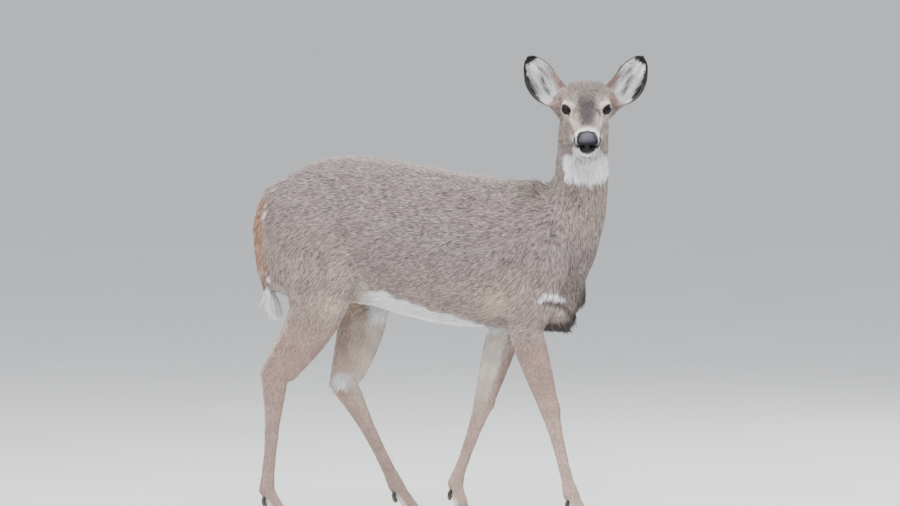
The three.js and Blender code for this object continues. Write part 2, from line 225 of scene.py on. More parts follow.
def remesh(helper):
    modifier = helper.modifiers.new("remesh", "REMESH")
    modifier.mode = "VOXEL"
    modifier.voxel_size = skinSize["voxel"]


def thinBody(helper):  # fewer faces on the body, some more on the legs, all on the head
    points, _ = readMesh(helper.data)
    onHead = np.linalg.norm((toHead(points) - (0.12, 0, 0)) / (0.17, 0.085, 0.085), axis=1) < 1
    onLeg = points[:, 2] < 0.42
    group = helper.vertex_groups.new(name="body")
    group.add(np.nonzero(~onHead & ~onLeg)[0].tolist(), 1.0, "REPLACE")
    group.add(np.nonzero(onLeg)[0].tolist(), skinSize["legKeep"], "REPLACE")
    modifier = helper.modifiers.new("thin", "DECIMATE")
    modifier.ratio = skinSize["share"]
    modifier.vertex_group = "body"


def smoothSkin(mesh):  # takes the facets off: broad smoothing on the body, little on thin limbs
    points, _ = readMesh(mesh)
    edges = np.empty(len(mesh.edges) * 2, np.int32)
    mesh.edges.foreach_get("vertices", edges)
    edges = edges.reshape(-1, 2)
    height = points[:, 2]
    inHead = toHead(points)
    weight = 0.04 + 0.10 * soft(height, 0.30, 0.42) + 0.86 * soft(height, 0.46, 0.60)
    onHead = soft(inHead[:, 0], -0.01, 0.04) * (np.abs(inHead[:, 1]) < 0.1) * (np.abs(inHead[:, 2]) < 0.1)
    weight = weight * (1 - onHead) + 0.22 * onHead
    earRoot = bump(mirrorHead(inHead), (0.010, 0.062, 0.010), (0.055, 0.05, 0.055))
    weight = np.maximum(weight, soft(earRoot, 0.0, 0.5) * 0.5)
    weight[bump(points - midline, (-0.395, 0, 0.66), (0.09, 0.09, 0.2)) > 0] = 0.12  # the tail
    for _ in range(10):
        weight = neighbourMean(weight[:, None], edges)[:, 0]
    points = relax(points, edges, skinSize["broad"], (0.62,), weight[:, None])
    points = relax(points, edges, skinSize["fine"], (0.60, -0.62))
    mesh.vertices.foreach_set("co", points.astype(np.float32).ravel())
    mesh.update()


def mirrorHead(inHead):  # both halves of the head on her left
    return np.c_[inHead[:, 0], np.abs(inHead[:, 1]), inHead[:, 2]]


shellPoints, shellTriangles, shellOwners = fleshShell()
closed = evaluated(makeMesh("shell", shellPoints, shellTriangles), remesh)
smoothSkin(closed)
thinned = evaluated(closed, thinBody)
skinPoints, skinTriangles = readMesh(thinned)
print("skin closed and smoothed:", len(closed.polygons), "faces, then", len(skinTriangles))


def evenOut(points, triangles):  # splits long edges, then rounds what was split
    for _ in range(3):
        tooLong = lambda edge: edge.calc_length() > skinSize["longest"]
        points, triangles = splitEdges(points, triangles, tooLong)
    onBody = soft(points[:, 2:3], 0.42, 0.55) * ~(toHead(points)[:, 0:1] > -0.03)
    return relax(points, edgesOf(triangles), 4, (0.55, -0.57), onBody), triangles


skinPoints, skinTriangles = evenOut(skinPoints, skinTriangles)
print("skin evened:", len(skinTriangles))

# where the head gets more faces, in its own frame: the eyes, then the nose twice over
finePlaces = (
    ((0.118, 0.05, 0.024), (0.034, 0.03, 0.03)),
    ((0.118, -0.05, 0.024), (0.034, 0.03, 0.03)),
    ((0.262, 0, -0.012), (0.040, 0.042, 0.042)),
    ((0.262, 0, -0.006), (0.030, 0.033, 0.034)),
)
for centre, radii in finePlaces:
    near = np.linalg.norm((toHead(skinPoints) - centre) / radii, axis=1) < 1
    skinPoints, skinTriangles = splitEdges(
        skinPoints, skinTriangles, lambda edge: all(near[v.index] for v in edge.verts), use_grid_fill=True
    )
print("skin refined:", len(skinTriangles))


earSize = {
    "root": (0.018, 0.064, 0.0),
    "along": (-0.6, 0.56, 0.6),
    "open": (0.91, 0.0, 0.42),
    "length": 0.138,
    "halfWidth": 0.0375,
    "depth": 0.0285,
    "bend": 0.012,
    "rim": 0.0016,
    "fold": 0.0022,
    "steps": (46, 30),
    # share of the length, inner and outer half width, depth, wall, as shares of the sizes above
    "rows": (
        (-0.10, 0.20, 0.20, 0.30, 0.60),
        (-0.04, 0.44, 0.40, 0.60, 0.52),
        (0.05, 0.78, 0.70, 0.90, 0.34),
        (0.16, 0.94, 0.98, 1.00, 0.20),
        (0.31, 0.88, 1.21, 0.90, 0.11),
        (0.48, 0.84, 1.27, 0.72, 0.09),
        (0.65, 0.85, 1.15, 0.52, 0.08),
        (0.80, 0.70, 0.87, 0.36, 0.07),
        (0.91, 0.50, 0.58, 0.24, 0.06),
        (0.97, 0.30, 0.30, 0.16, 0.06),
        (1.00, 0.03, 0.03, 0.12, 0.05),
    ),
}


def throughRows(rows, at):  # smooth curve through rows, each row's first number its place
    rows = np.asarray(rows)
    slopes = np.gradient(rows, rows[:, 0], axis=0)
    i = np.clip(np.searchsorted(rows[:, 0], at) - 1, 0, len(rows) - 2)
    span = (rows[i + 1, 0] - rows[i, 0])[:, None]
    t = ((at - rows[i, 0]) / (rows[i + 1, 0] - rows[i, 0]))[:, None]
    a, b, c, d = 2 * t**3 - 3 * t**2 + 1, t**3 - 2 * t**2 + t, -2 * t**3 + 3 * t**2, t**3 - t**2
    return (a * rows[i] + b * span * slopes[i] + c * rows[i + 1] + d * span * slopes[i + 1])[:, 1:]


def earAxes(side):
    flip = np.array((1, side, 1))
    along = unit(np.array(earSize["along"]) * flip)
    opening = np.array(earSize["open"])
    opening = unit(opening - along * (opening @ along))
    return np.array(earSize["root"]) * flip, along, opening, np.cross(along, opening) * side


def earLeaf(side):  # points and triangles in the world, and share along, across and inside for each point
    root, along, opening, wide = earAxes(side)
    up, over = earSize["steps"]
    share = -0.10 + 1.10 * (1 - (1 - np.linspace(0, 1, up)) ** 1.35)
    share[-1] = 1.0
    inner, outer, depth, wall = throughRows(earSize["rows"], share).T
    across = np.sin(np.linspace(-1, 1, over) * math.pi / 2)
    angle = across * math.pi / 2
    s, a = np.meshgrid(share, angle, indexing="ij")
    half = earSize["halfWidth"] * np.where(a > 0, outer[:, None], inner[:, None])
    drop = earSize["depth"] * depth[:, None] * np.cos(a)
    thick = earSize["depth"] * wall[:, None] * np.cos(a) ** 0.7 + earSize["rim"]
    folds = earSize["fold"] * np.cos(a * 7 + s * 2.2) * soft(np.cos(a), 0.25, 0.8) * soft(s, 0.1, 0.35)
    folds = folds * fade(s, 0.6, 0.92)
    sheets = []
    for inside in (0, 1):
        lift = -drop + inside * (thick + folds)
        reach = half - inside * earSize["rim"] * 0.4
        place = root + along * (s * earSize["length"])[..., None]
        place = place + wide * (reach * np.sin(a))[..., None]
        place = place + opening * (lift + earSize["bend"] * s * s)[..., None]
        sheets.append(fromHead(place.reshape(-1, 3)))
    grid = np.arange(up * over).reshape(up, over)
    sheet = gridFaces(grid[:-1, :-1], grid[1:, :-1], grid[:-1, 1:], grid[1:, 1:])
    shift = up * over
    loop = np.concatenate([grid[0], grid[1:, -1], grid[-1, -2::-1], grid[-2:0:-1, 0]])
    ahead = np.roll(loop, -1)
    band = np.concatenate([np.c_[loop, ahead, loop + shift], np.c_[ahead, ahead + shift, loop + shift]])
    triangles = np.concatenate([sheet, sheet[:, ::-1] + shift, band])
    if side < 0:
        triangles = triangles[:, ::-1]
    places = np.stack([s.ravel(), across[None].repeat(up, 0).ravel()], -1)
    places = np.concatenate([np.c_[places, np.zeros(shift)], np.c_[places, np.ones(shift)]])
    return np.concatenate(sheets), triangles, places


# coat depth by place, and how far the skin lies inside the flesh solids
coatDepth = {
    "body": 0.0042, "neck": 0.0048, "legs": 0.0020, "feet": 0.0012,
    "head": 0.0018, "muzzle": 0.0010, "nose": 0.0006,
}

# on the right side, mirrored to the left: the doe's own x, y, z, the radii and the push along the normal
muscles = (
    ((0.285, -0.075, 0.800), (0.050, 0.060, 0.090), 0.004),  # shoulder blade
    ((0.318, -0.110, 0.672), (0.070, 0.060, 0.080), 0.005),  # point of the shoulder
    ((0.222, -0.120, 0.700), (0.032, 0.070, 0.120), -0.005),  # hollow behind the shoulder
    ((0.262, -0.120, 0.575), (0.050, 0.060, 0.050), 0.005),  # elbow
    ((-0.070, -0.130, 0.790), (0.075, 0.060, 0.070), -0.006),  # flank hollow
    ((-0.140, -0.100, 0.880), (0.045, 0.050, 0.040), 0.004),  # hip
    ((-0.265, -0.120, 0.760), (0.085, 0.060, 0.120), 0.004),  # thigh
    ((-0.150, -0.135, 0.625), (0.040, 0.050, 0.045), 0.005),  # stifle
    ((-0.110, -0.140, 0.668), (0.028, 0.060, 0.070), -0.005),  # fold before the stifle
    ((0.418, 0.0, 0.532), (0.050, 0.080, 0.050), -0.011),  # lower front of the brisket
    ((0.352, -0.088, 0.545), (0.028, 0.050, 0.026), -0.010),  # hollow behind the foreleg's front edge
    ((0.352, -0.088, 0.586), (0.036, 0.050, 0.014), 0.006),
    ((0.318, 0.0, 0.895), (0.040, 0.090, 0.032), -0.008),  # foot of the nape
)


# lines pressed into the skin, with their width and depth
creases = (
    (((0.440, 0.0, 0.640), (0.428, -0.04, 0.644), (0.396, -0.068, 0.650), (0.360, -0.085, 0.656)),
     0.0075, 0.0060),
    (((-0.150, -0.135, 0.722), (-0.158, -0.135, 0.690), (-0.128, -0.135, 0.652), (-0.106, -0.13, 0.607)),
     0.0055, 0.0050),
    (((-0.190, -0.135, 0.706), (-0.176, -0.135, 0.676), (-0.150, -0.137, 0.640)), 0.0050, 0.0034),
    (((-0.250, -0.130, 0.722), (-0.226, -0.130, 0.690), (-0.213, -0.130, 0.655)), 0.0070, 0.0030),
    (((0.345, -0.090, 0.800), (0.352, -0.090, 0.745), (0.362, -0.090, 0.690)), 0.0080, 0.0040),
)


def shapeBody(points, normals):
    own = points - midline
    beside = fade(own[:, 0], -0.40, -0.33) * soft(own[:, 2], 0.56, 0.64) * fade(own[:, 2], 0.78, 0.85)
    beside = beside * ~ownedBy("tail")  # the buttocks stand back from the tail
    points = points + beside[:, None] * (0.016, 0, 0)
    for (x, y, z), radii, push in muscles:
        for across in (y, -y):
            points = points + normals * (push * bump(own, (x, across, z), radii))[:, None]
    folded = own * (1, -1, 1) * np.where(own[:, 1:2] > 0, 1, (1, -1, 1))  # both sides on the right one
    for path, width, depth in creases:
        points = points - normals * (depth * np.exp(-((lineDistance(folded, path) / width) ** 2)))[:, None]
    return points


def shapeLegs(points, normals):  # tendons, knees and hocks
    own = points - midline
    for name, (top, middle, low) in legLines.items():
        top, middle, low = (np.array(p) for p in (top, middle, low))
        hind = "hind" in name
        down = unit(low - middle)
        onSide = np.abs(own[:, 1] - middle[1]) < 0.06
        share = ((own - middle) @ down) / np.linalg.norm(low - middle)
        line = middle + down * ((own - middle) @ down)[:, None]
        back = np.array((down[2], 0, -down[0])) * (1 if down[2] < 0 else -1)
        rear = ((own - line) @ back) * -1
        groove = soft(share, 0.12, 0.3) * fade(share, 0.8, 0.95) * onSide
        groove = groove * bump(np.c_[rear, rear, rear], (-0.006, -0.006, -0.006), (0.012, 0.012, 0.012))
        points = points - normals * (0.0022 * groove)[:, None]
        if hind:
            heel = middle + unit(middle - low) * 0.012 + back * -0.040
            points = points + normals * (0.004 * bump(own, heel, (0.022, 0.022, 0.026)))[:, None]
            up = unit(top - middle)
            for side in (-0.02, 0.02):
                hollow = middle + up * 0.065 + np.array((-0.026, side, 0.0))
                points = points - normals * (0.007 * bump(own, hollow, (0.022, 0.02, 0.05)))[:, None]
        else:
            for side in (-0.016, 0.016):
                knob = middle + np.array((0.006, side, -0.002))
                points = points + normals * (0.0022 * bump(own, knob, (0.02, 0.014, 0.022)))[:, None]
            knee = middle + np.array((0.022, 0, 0.0))
            points = points + normals * (0.002 * bump(own, knee, (0.016, 0.016, 0.026)))[:, None]
    return points


# in the head's own frame, on her left, mirrored to the right
faceForms = (
    ((0.030, 0.040, 0.058), (0.055, 0.026, 0.032), 0.0042),  # edge of the crown
    ((0.008, 0.054, 0.034), (0.032, 0.024, 0.026), 0.0060),  # flesh before the ear
    ((0.060, 0.050, 0.050), (0.034, 0.024, 0.026), -0.0020),  # temple
    ((0.104, 0.045, 0.043), (0.022, 0.014, 0.012), 0.0022),  # brow
    ((0.132, 0.041, 0.006), (0.022, 0.014, 0.012), 0.0016),  # rim of the cheekbone
    ((0.146, 0.037, 0.012), (0.012, 0.010, 0.006), -0.0024),  # tear pit
    ((0.178, 0.034, -0.006), (0.032, 0.018, 0.020), -0.0022),  # hollow of the muzzle
    ((0.070, 0.058, -0.040), (0.040, 0.024, 0.036), 0.0026),  # jaw muscle
    ((0.236, 0.030, -0.004), (0.022, 0.014, 0.020), 0.0016),  # nostril wing
    ((0.256, 0.027, 0.000), (0.014, 0.012, 0.013), 0.0020),
    ((0.252, 0.016, -0.025), (0.018, 0.016, 0.010), 0.0016),  # upper lip
    ((0.246, 0.027, -0.020), (0.026, 0.016, 0.014), 0.0050),
    ((0.240, 0.034, -0.002), (0.026, 0.014, 0.016), 0.0024),
    ((0.246, 0.012, -0.048), (0.020, 0.016, 0.010), 0.0012),  # chin
)
faceLines = {
    "mouth": (
        ((0.268, 0.000, -0.029), (0.264, 0.010, -0.030), (0.254, 0.021, -0.033), (0.238, 0.028, -0.037),
         (0.218, 0.031, -0.040), (0.200, 0.033, -0.041), (0.186, 0.034, -0.040)),
        0.0021, 0.0040,
    ),
    "nostril": (
        ((0.270, 0.010, -0.009), (0.267, 0.0155, -0.013), (0.262, 0.0220, -0.0145), (0.257, 0.0275, -0.012),
         (0.252, 0.0305, -0.006), (0.246, 0.0315, 0.000)),
        0.0042, 0.0095,
    ),
    "divide": (
        ((0.273, 0.0, -0.006), (0.272, 0.0, -0.014), (0.269, 0.0, -0.022), (0.266, 0.0, -0.029)),
        0.0016, 0.0016,
    ),
}


def lineDistance(points, path, reach=0.02):  # distance to a broken line, far points left at a metre
    path = np.asarray(path)
    away = np.full(len(points), 1.0)
    near = np.nonzero(((points > path.min(0) - reach) & (points < path.max(0) + reach)).all(1))[0]
    close = points[near]
    for start, end in zip(path[:-1], path[1:]):
        run = end - start
        t = np.clip((close - start) @ run / (run @ run), 0, 1)
        away[near] = np.minimum(away[near], np.linalg.norm(close - start - t[:, None] * run, axis=1))
    return away


def shapeFace(points, normals):
    inHead = toHead(points)
    folded = mirrorHead(inHead)
    push = np.zeros(len(points))
    for place, radii, amount in faceForms:
        push += amount * bump(folded, place, radii)
    for path, width, depth in faceLines.values():
        push -= depth * np.exp(-((lineDistance(folded, path) / width) ** 2))
    return points + normals * push[:, None]


# the rhinarium's half width, seen from the front, by height in the head's frame
noseOutline = ((-0.034, 0.000), (-0.031, 0.013), (-0.022, 0.0175), (-0.012, 0.0190), (-0.006, 0.0225),
               (0.000, 0.0255), (0.008, 0.0255), (0.014, 0.0215), (0.018, 0.0150), (0.0205, 0.000))


def noseMask(inHead):  # above 0 on the bare nose
    heights, widths = np.array(noseOutline).T
    half = np.interp(inHead[:, 2], heights, widths, left=-0.01, right=-0.01)
    return np.minimum(half - np.abs(inHead[:, 1]), inHead[:, 0] - 0.236)


def eyeAxes(side):
    turn, roll = math.radians(eyeSize["turn"]), math.radians(eyeSize["roll"])
    ahead = unit(np.array((math.cos(turn), math.sin(turn), eyeSize["rise"])))
    front = unit(np.cross((0, 0, 1.0), ahead)) * -1
    above = np.cross(ahead, front) * -1
    above = above * np.sign(above[2])
    tilted = front * math.cos(roll) - above * math.sin(roll)
    above = above * math.cos(roll) + front * math.sin(roll)
    return [np.array(line) * (1, side, 1) for line in (eyeSize["at"], ahead, tilted, above)]


eyeSize = {
    "at": (0.114, 0.045, 0.0245), "radius": 0.0166, "turn": 42, "rise": 0.10, "roll": 9,
    "halfLong": 59, "upper": 42, "lower": 34, "steps": 72,
    # degrees outside the opening, height above the ball in metres, share of the face's own surface
    "lid": ((-8, -0.0030, 0), (-2, -0.0006, 0), (0, 0.0002, 0), (2, 0.0006, 0), (5, 0.0009, 0),
            (9, 0.0014, 0.05), (13, 0.0017, 0.15), (18, 0.0020, 0.35), (25, 0.0022, 0.7), (32, 0.002, 1.0)),
}


def eyeOpening(steps):  # the almond: degrees to the front and up, and outward normals
    t = np.linspace(0, 2 * math.pi, steps, endpoint=False)
    long = eyeSize["halfLong"] * np.cos(t)
    high = np.where(np.sin(t) > 0, eyeSize["upper"], eyeSize["lower"])
    high = high * np.sign(np.sin(t)) * np.abs(np.sin(t)) ** 1.25
    line = np.stack([long, high], -1)
    run = np.roll(line, -1, 0) - np.roll(line, 1, 0)
    return line, unit(np.stack([run[:, 1], -run[:, 0]], -1))


def eyeDirection(degrees, ahead, front, above):  # degrees from the middle of the eye, to the front and up
    turn = np.maximum(np.linalg.norm(degrees, axis=-1), 1e-9)
    share = degrees / turn[..., None]
    turn = np.radians(turn)[..., None]
    return ahead * np.cos(turn) + (front * share[..., :1] + above * share[..., 1:]) * np.sin(turn)


def openingDistance(points, side):  # degrees outside the almond, below 0 inside, and distance from the ball
    centre, ahead, front, above = eyeAxes(side)
    away = points - centre
    far = np.linalg.norm(away, axis=1)
    ray = away / np.maximum(far, 1e-9)[:, None]
    turn = np.degrees(np.arccos(np.clip(ray @ ahead, -1, 1)))
    across = unit(np.stack([ray @ front, ray @ above], -1))
    line, outward = eyeOpening(eyeSize["steps"])
    gap = (across * turn[:, None])[:, None] - line[None]
    index = np.linalg.norm(gap, axis=2).argmin(1)
    pick = np.arange(len(points))
    return (gap[pick, index] * outward[index]).sum(1), far


def raiseOrbits(points):  # fills the face out round each eye, flush with its lids
    inHead = toHead(points)
    moved = inHead.copy()
    for side in (1, -1):
        centre = eyeAxes(side)[0]
        near = np.nonzero(np.linalg.norm(inHead - centre, axis=1) < 0.045)[0]
        outside, far = openingDistance(inHead[near], side)
        lift = np.maximum(eyeSize["radius"] + 0.0028 - far, 0) * (1 - soft(outside, 20, 62))
        moved[near] = centre + (inHead[near] - centre) * (1 + lift / far)[:, None]
    return fromHead(moved)


def sinkSockets(points):  # lowers the skin under the lids and behind the eye
    inHead = toHead(points)
    moved = inHead.copy()
    for side in (1, -1):
        near = np.nonzero(np.linalg.norm(inHead - eyeAxes(side)[0], axis=1) < 0.036)[0]
        outside, far = openingDistance(inHead[near], side)
        ball = eyeSize["radius"]
        target = ball - 0.003 + 0.0052 * soft(outside, 2, 24)
        share = (1 - soft(outside, 20, 32)) * (1 - soft(far, ball + 0.0045, ball + 0.010))
        new = far + np.minimum(target - far, 0) * share
        centre = eyeAxes(side)[0]
        moved[near] = centre + (inHead[near] - centre) * (new / far)[:, None]
    return fromHead(moved)


def lidRing(side, faceTree):  # the two lids as one band round the eye
    centre, ahead, front, above = eyeAxes(side)
    steps = eyeSize["steps"]
    line, outward = eyeOpening(steps)
    rings, beyond = [], []
    for degrees, height, share in eyeSize["lid"]:
        ray = eyeDirection(line + outward * degrees, ahead, front, above)
        onBall = eyeSize["radius"] + height
        reach = np.full(steps, onBall)
        if share:
            for k in range(steps):
                hit = faceTree.ray_cast(Vector(centre), Vector(ray[k]), 0.05)
                face = (hit[0] - Vector(centre)).length - 0.0016 * share if hit[0] else onBall
                reach[k] = onBall + (min(face, eyeSize["radius"] + 0.0065) - onBall) * share
        rings.append(centre + ray * reach[:, None])
        beyond.append(np.full(steps, degrees))
    points = np.concatenate(rings)
    index = np.arange(len(points)).reshape(-1, steps)
    a, b = index[:-1], index[1:]
    triangles = facingOut(points, gridFaces(a, b, np.roll(a, -1, 1), np.roll(b, -1, 1)), centre)
    return fromHead(points), triangles, np.concatenate(beyond)


# what part of the doe each point of skin belongs to
shellTree = BVHTree.FromPolygons(shellPoints.tolist(), shellTriangles.tolist())
skinOwner = shellOwners[[shellTree.find_nearest(Vector(p))[2] for p in skinPoints]]


def ownedBy(*words):
    wanted = [i for i, name in enumerate(filledNodes) if any(word in name for word in words)]
    return np.isin(skinOwner, wanted)


def insetSkin(points, normals):
    edges = edgesOf(skinTriangles)
    depth = np.full(len(points), coatDepth["body"])
    depth[ownedBy("neck")] = coatDepth["neck"]
    depth[ownedBy("leg")] = coatDepth["legs"]
    depth[ownedBy("foot")] = coatDepth["feet"]
    inHead = toHead(points)
    onHead = ownedBy("head", "eye", "nose")
    thinner = (coatDepth["muzzle"] - coatDepth["head"]) * soft(inHead[onHead, 0], 0.13, 0.2)
    depth[onHead] = coatDepth["head"] + thinner
    depth[ownedBy("nose")] = coatDepth["nose"]
    for _ in range(12):
        depth = neighbourMean(depth[:, None], edges)[:, 0]
    return points - normals * depth[:, None]


skinPoints = insetSkin(skinPoints, vertexNormals(skinPoints, skinTriangles))
skinPoints = shapeBody(skinPoints, vertexNormals(skinPoints, skinTriangles))
skinPoints = shapeLegs(skinPoints, vertexNormals(skinPoints, skinTriangles))
skinPoints = shapeFace(skinPoints, vertexNormals(skinPoints, skinTriangles))
skinPoints = raiseOrbits(skinPoints)
faceTree = BVHTree.FromPolygons(toHead(skinPoints).tolist(), skinTriangles.tolist())
lids = [lidRing(side, faceTree) for side in (1, -1)]
skinPoints = sinkSockets(skinPoints)
ears = [earLeaf(side) for side in (1, -1)]
bareCount = len(skinPoints)

# where on an ear or a lid each point lies: kind 0 body, 1 ear, 2 lid
skinKind = np.zeros(bareCount, int)
earPlace = np.zeros((bareCount, 3))
lidPlace = np.full(bareCount, 99.0)
for kind, grown in ((1, ears), (2, lids)):
    for points, triangles, place in grown:
        skinTriangles = np.concatenate([skinTriangles, triangles + len(skinPoints)])
        skinPoints = np.concatenate([skinPoints, points])
        skinKind = np.concatenate([skinKind, np.full(len(points), kind)])
        earPlace = np.concatenate([earPlace, place if kind == 1 else np.zeros((len(points), 3))])
        lidPlace = np.concatenate([lidPlace, place if kind == 2 else np.full(len(points), 99.0)])
        skinOwner = np.concatenate([skinOwner, np.full(len(points), filledNodes.index("head"))])
skinNormals = vertexNormals(skinPoints, skinTriangles)
skinEdges = edgesOf(skinTriangles)
print("skin shaped:", len(skinTriangles), "triangles")


tones = {
    "back": "948683", "nape": "70665f", "flank": "a5948e", "thigh": "a4928b", "rust": "a07556",
    "leg": "a88e84", "inner": "c3ae9d", "shin": "b8a094", "hindShin": "a28c81", "cream": "d9d0c6",
    "white": "efeff2", "brisket": "3a3330", "face": "a39389", "crown": "756a65", "bridge": "3b3639",
    "ring": "d2c6bf", "black": "090708", "earBack": "8d8078", "earDown": "b5b0b0",
}
tones = {name: linear(code) for name, code in tones.items()}


def mixed(values, target, share):  # values drawn to a target by a share for each point
    share = np.broadcast_to(np.clip(share, 0, 1), len(values))[:, None]
    return values * (1 - share) + target * share


def blend(colours, *layers):  # lays tones over one another
    for tone, share in layers:
        colours = mixed(colours, tones[tone], share)
    return colours


def plain(tone, points):
    return np.repeat(tones[tone][None], len(points), 0)


def onPath(points, path, low, high):  # 1 near a broken line, 0 beyond the high distance
    return fade(lineDistance(points, path, 0.03), low, high)


# lines on the right side of the body, and the upper edge of the white belly by x and z
bodyPaths = {
    "rim": ((0.428, 0, 0.600), (0.410, 0, 0.548), (0.385, 0, 0.516), (0.345, 0, 0.502), (0.305, 0, 0.500)),
    "crest": ((0.326, 0, 0.580), (0.338, 0, 0.590), (0.356, 0, 0.590), (0.372, 0, 0.580)),
    "below": ((0.333, 0, 0.574), (0.352, 0, 0.578), (0.376, 0, 0.562), (0.386, 0, 0.545)),
    "armpit": ((0.330, -0.09, 0.594), (0.323, -0.092, 0.560), (0.322, -0.092, 0.520)),
    "belly": ((-0.110, 0.590), (-0.079, 0.600), (-0.033, 0.581), (0.043, 0.551), (0.119, 0.529),
              (0.190, 0.504), (0.27, 0.48)),
}


def bodyMarkings(points, normals, belly=1.0):
    own = points - midline
    x, y, z = own.T
    side = np.abs(y)
    flat = own * (1, 0, 1)
    folded = np.stack([x, -side, z], -1)
    upward = normals[:, 2]
    line = np.interp(x, *np.array(bodyPaths["belly"]).T) + ripple(points, 0.05, 11) * 0.003
    outerThigh = soft(y, 0.085, 0.105) * fade(x, -0.06, -0.03)
    trunkOnly = belly * soft(x, -0.150, -0.125) * fade(x, 0.235, 0.262) * (1 - outerThigh)
    under = belly * fade(upward, -0.95, -0.78) * soft(x, -0.20, -0.12) * fade(x, 0.10, 0.20) * (z < 0.60)
    between = fade(upward, -0.8, -0.3) * (z > 0.45) * fade(z, 0.60, 0.66) * fade(x, -0.15, -0.05)
    buttocks = fade(x, -0.385, -0.355) * fade(side, 0.015, 0.032) * fade(z, 0.78, 0.82)
    groin = belly * fade(x, -0.150, -0.130) * soft(x, -0.30, -0.27) * fade(z, 0.575, 0.600)
    outside = soft(side, 0.020, 0.035)
    crest = lineDistance(flat, bodyPaths["crest"], 0.03) - 0.0015 * ripple(points, 0.012, 15)
    rim = fade(lineDistance(flat, bodyPaths["rim"], 0.05) + 0.10 * side, 0.008, 0.026)
    colours = blend(
        plain("back", points),
        # painted shade in the corner where the neck meets the back
        ("nape", 0.85 * bump(own, (0.33, 0, 0.87), (0.17, 0.09, 0.11))),
        ("nape", 0.40 * bump(folded, (0.285, -0.05, 0.845), (0.080, 0.10, 0.060))),
        ("flank", fade(z, 0.55, 0.70) * soft(x, -0.5, 0.1)),
        ("inner", bump(folded, (0.205, -0.11, 0.570), (0.080, 0.10, 0.075))),
        ("thigh", fade(x, -0.24, -0.10) * fade(z, 0.62, 0.80)),
        ("inner", 0.75 * bump(folded, (-0.205, -0.12, 0.560), (0.075, 0.07, 0.060))),
        ("ring", 0.8 * bump(folded, (-0.116, -0.12, 0.582), (0.034, 0.06, 0.036))),
        ("rust", 0.22 * fade(x, -0.41, -0.34) * soft(z, 0.55, 0.75)),
        # belly, tail foot and groin
        ("white", soft(line - z, -0.0015, 0.0035) * trunkOnly + under),
        ("cream", 0.8 * between),
        ("white", 0.9 * buttocks),
        ("inner", 0.9 * groin * fade(side, 0.08, 0.11)),
        # brisket: dark, with a pale crest over a line of painted shade, painted shade in the armpit and a
        # dark lower rim
        ("brisket", 0.62 * bump(folded, (0.395, -0.03, 0.600), (0.065, 0.10, 0.085))),
        ("ring", 0.9 * bump(folded, (0.350, -0.060, 0.552), (0.034, 0.060, 0.028))),
        # painted shade under the pale crest
        ("brisket", 0.6 * outside * onPath(flat, bodyPaths["below"], 0.003, 0.009)),
        ("white", outside * fade(crest, 0.0030, 0.0080)),
        # painted shade where the foreleg meets the chest
        ("brisket", 0.75 * onPath(folded, bodyPaths["armpit"], 0.002, 0.008)),
        ("brisket", 1.15 * rim * soft(0.2 - side, 0.12, 0.17)),
    )
    # painted shade along each crease, in the brisket tone
    for path, width, _ in creases:
        colours = blend(colours, ("brisket", 0.34 * onPath(folded, path, 0.3 * width, 1.6 * width)))
    return colours


# the tuft inside each hock
hockTufts = [
    np.array(legLines["hind_leg_" + side][1]) + (-0.012, inward, 0.008)
    for side, inward in (("left", -0.022), ("right", 0.022))
]


def legMarkings(points, normals):
    own = points - midline
    x, y, z = own.T
    ahead = normals[:, 0]
    hind = x < 0.02
    shin = fade(z, 0.28, 0.36)
    legTone = blend(plain("leg", points), ("shin", shin * ~hind), ("hindShin", shin * hind))
    low = soft(np.where(hind, 0.56, 0.54) - z, 0.0, 0.10)
    inside = soft(-np.sign(y) * normals[:, 1], 0.05, 0.6) * soft(z, 0.20, 0.42) * (z < 0.64)
    colours = blend(
        mixed(bodyMarkings(points, normals, 0.0), legTone, low),
        ("cream", 0.95 * inside * ~hind * fade(ahead, 0.15, 0.55) * soft(z, 0.24, 0.36)),
        ("inner", 0.85 * inside * hind),
        ("cream", 0.55 * inside * hind * soft(ahead, -0.2, 0.5)),
        ("white", 0.7 * inside * soft(z, 0.45, 0.56) * soft(ahead, -0.3, 0.3)),
        ("thigh", 0.75 * inside * hind * fade(ahead, -0.5, 0.0) * soft(z, 0.38, 0.46)),
    )
    for tuft in hockTufts:
        colours = blend(
            colours,
            ("white", 1.5 * bump(own, tuft + (0, 0, 0.004), (0.040, 0.030, 0.034))),
            ("rust", 1.2 * bump(own, tuft + (0.004, 0, -0.020), (0.018, 0.030, 0.014))),
        )
    return blend(
        colours,
        ("cream", 0.35 * fade(ahead, -0.9, -0.4) * soft(z, 0.12, 0.3) * hind),
        ("rust", 0.35 * soft(ahead, 0.5, 0.95) * fade(z, 0.3, 0.42) * soft(z, 0.1, 0.2)),
        ("white", 0.8 * fade(z, 0.06, 0.085) * soft(z, 0.03, 0.05) * fade(ahead, -0.5, 0)),
    )


def chinShade(inHead):  # painted shadow: the grey line below the chin, curved up at its ends
    drop = 0.906 * inHead[:, 2] - 0.4226 * inHead[:, 0]
    side = np.abs(inHead[:, 1])
    away = np.abs(drop + 0.1495 - 0.012 * (side / 0.026) ** 2)
    return fade(away, 0.0015, 0.0055) * fade(side, 0.022, 0.034)


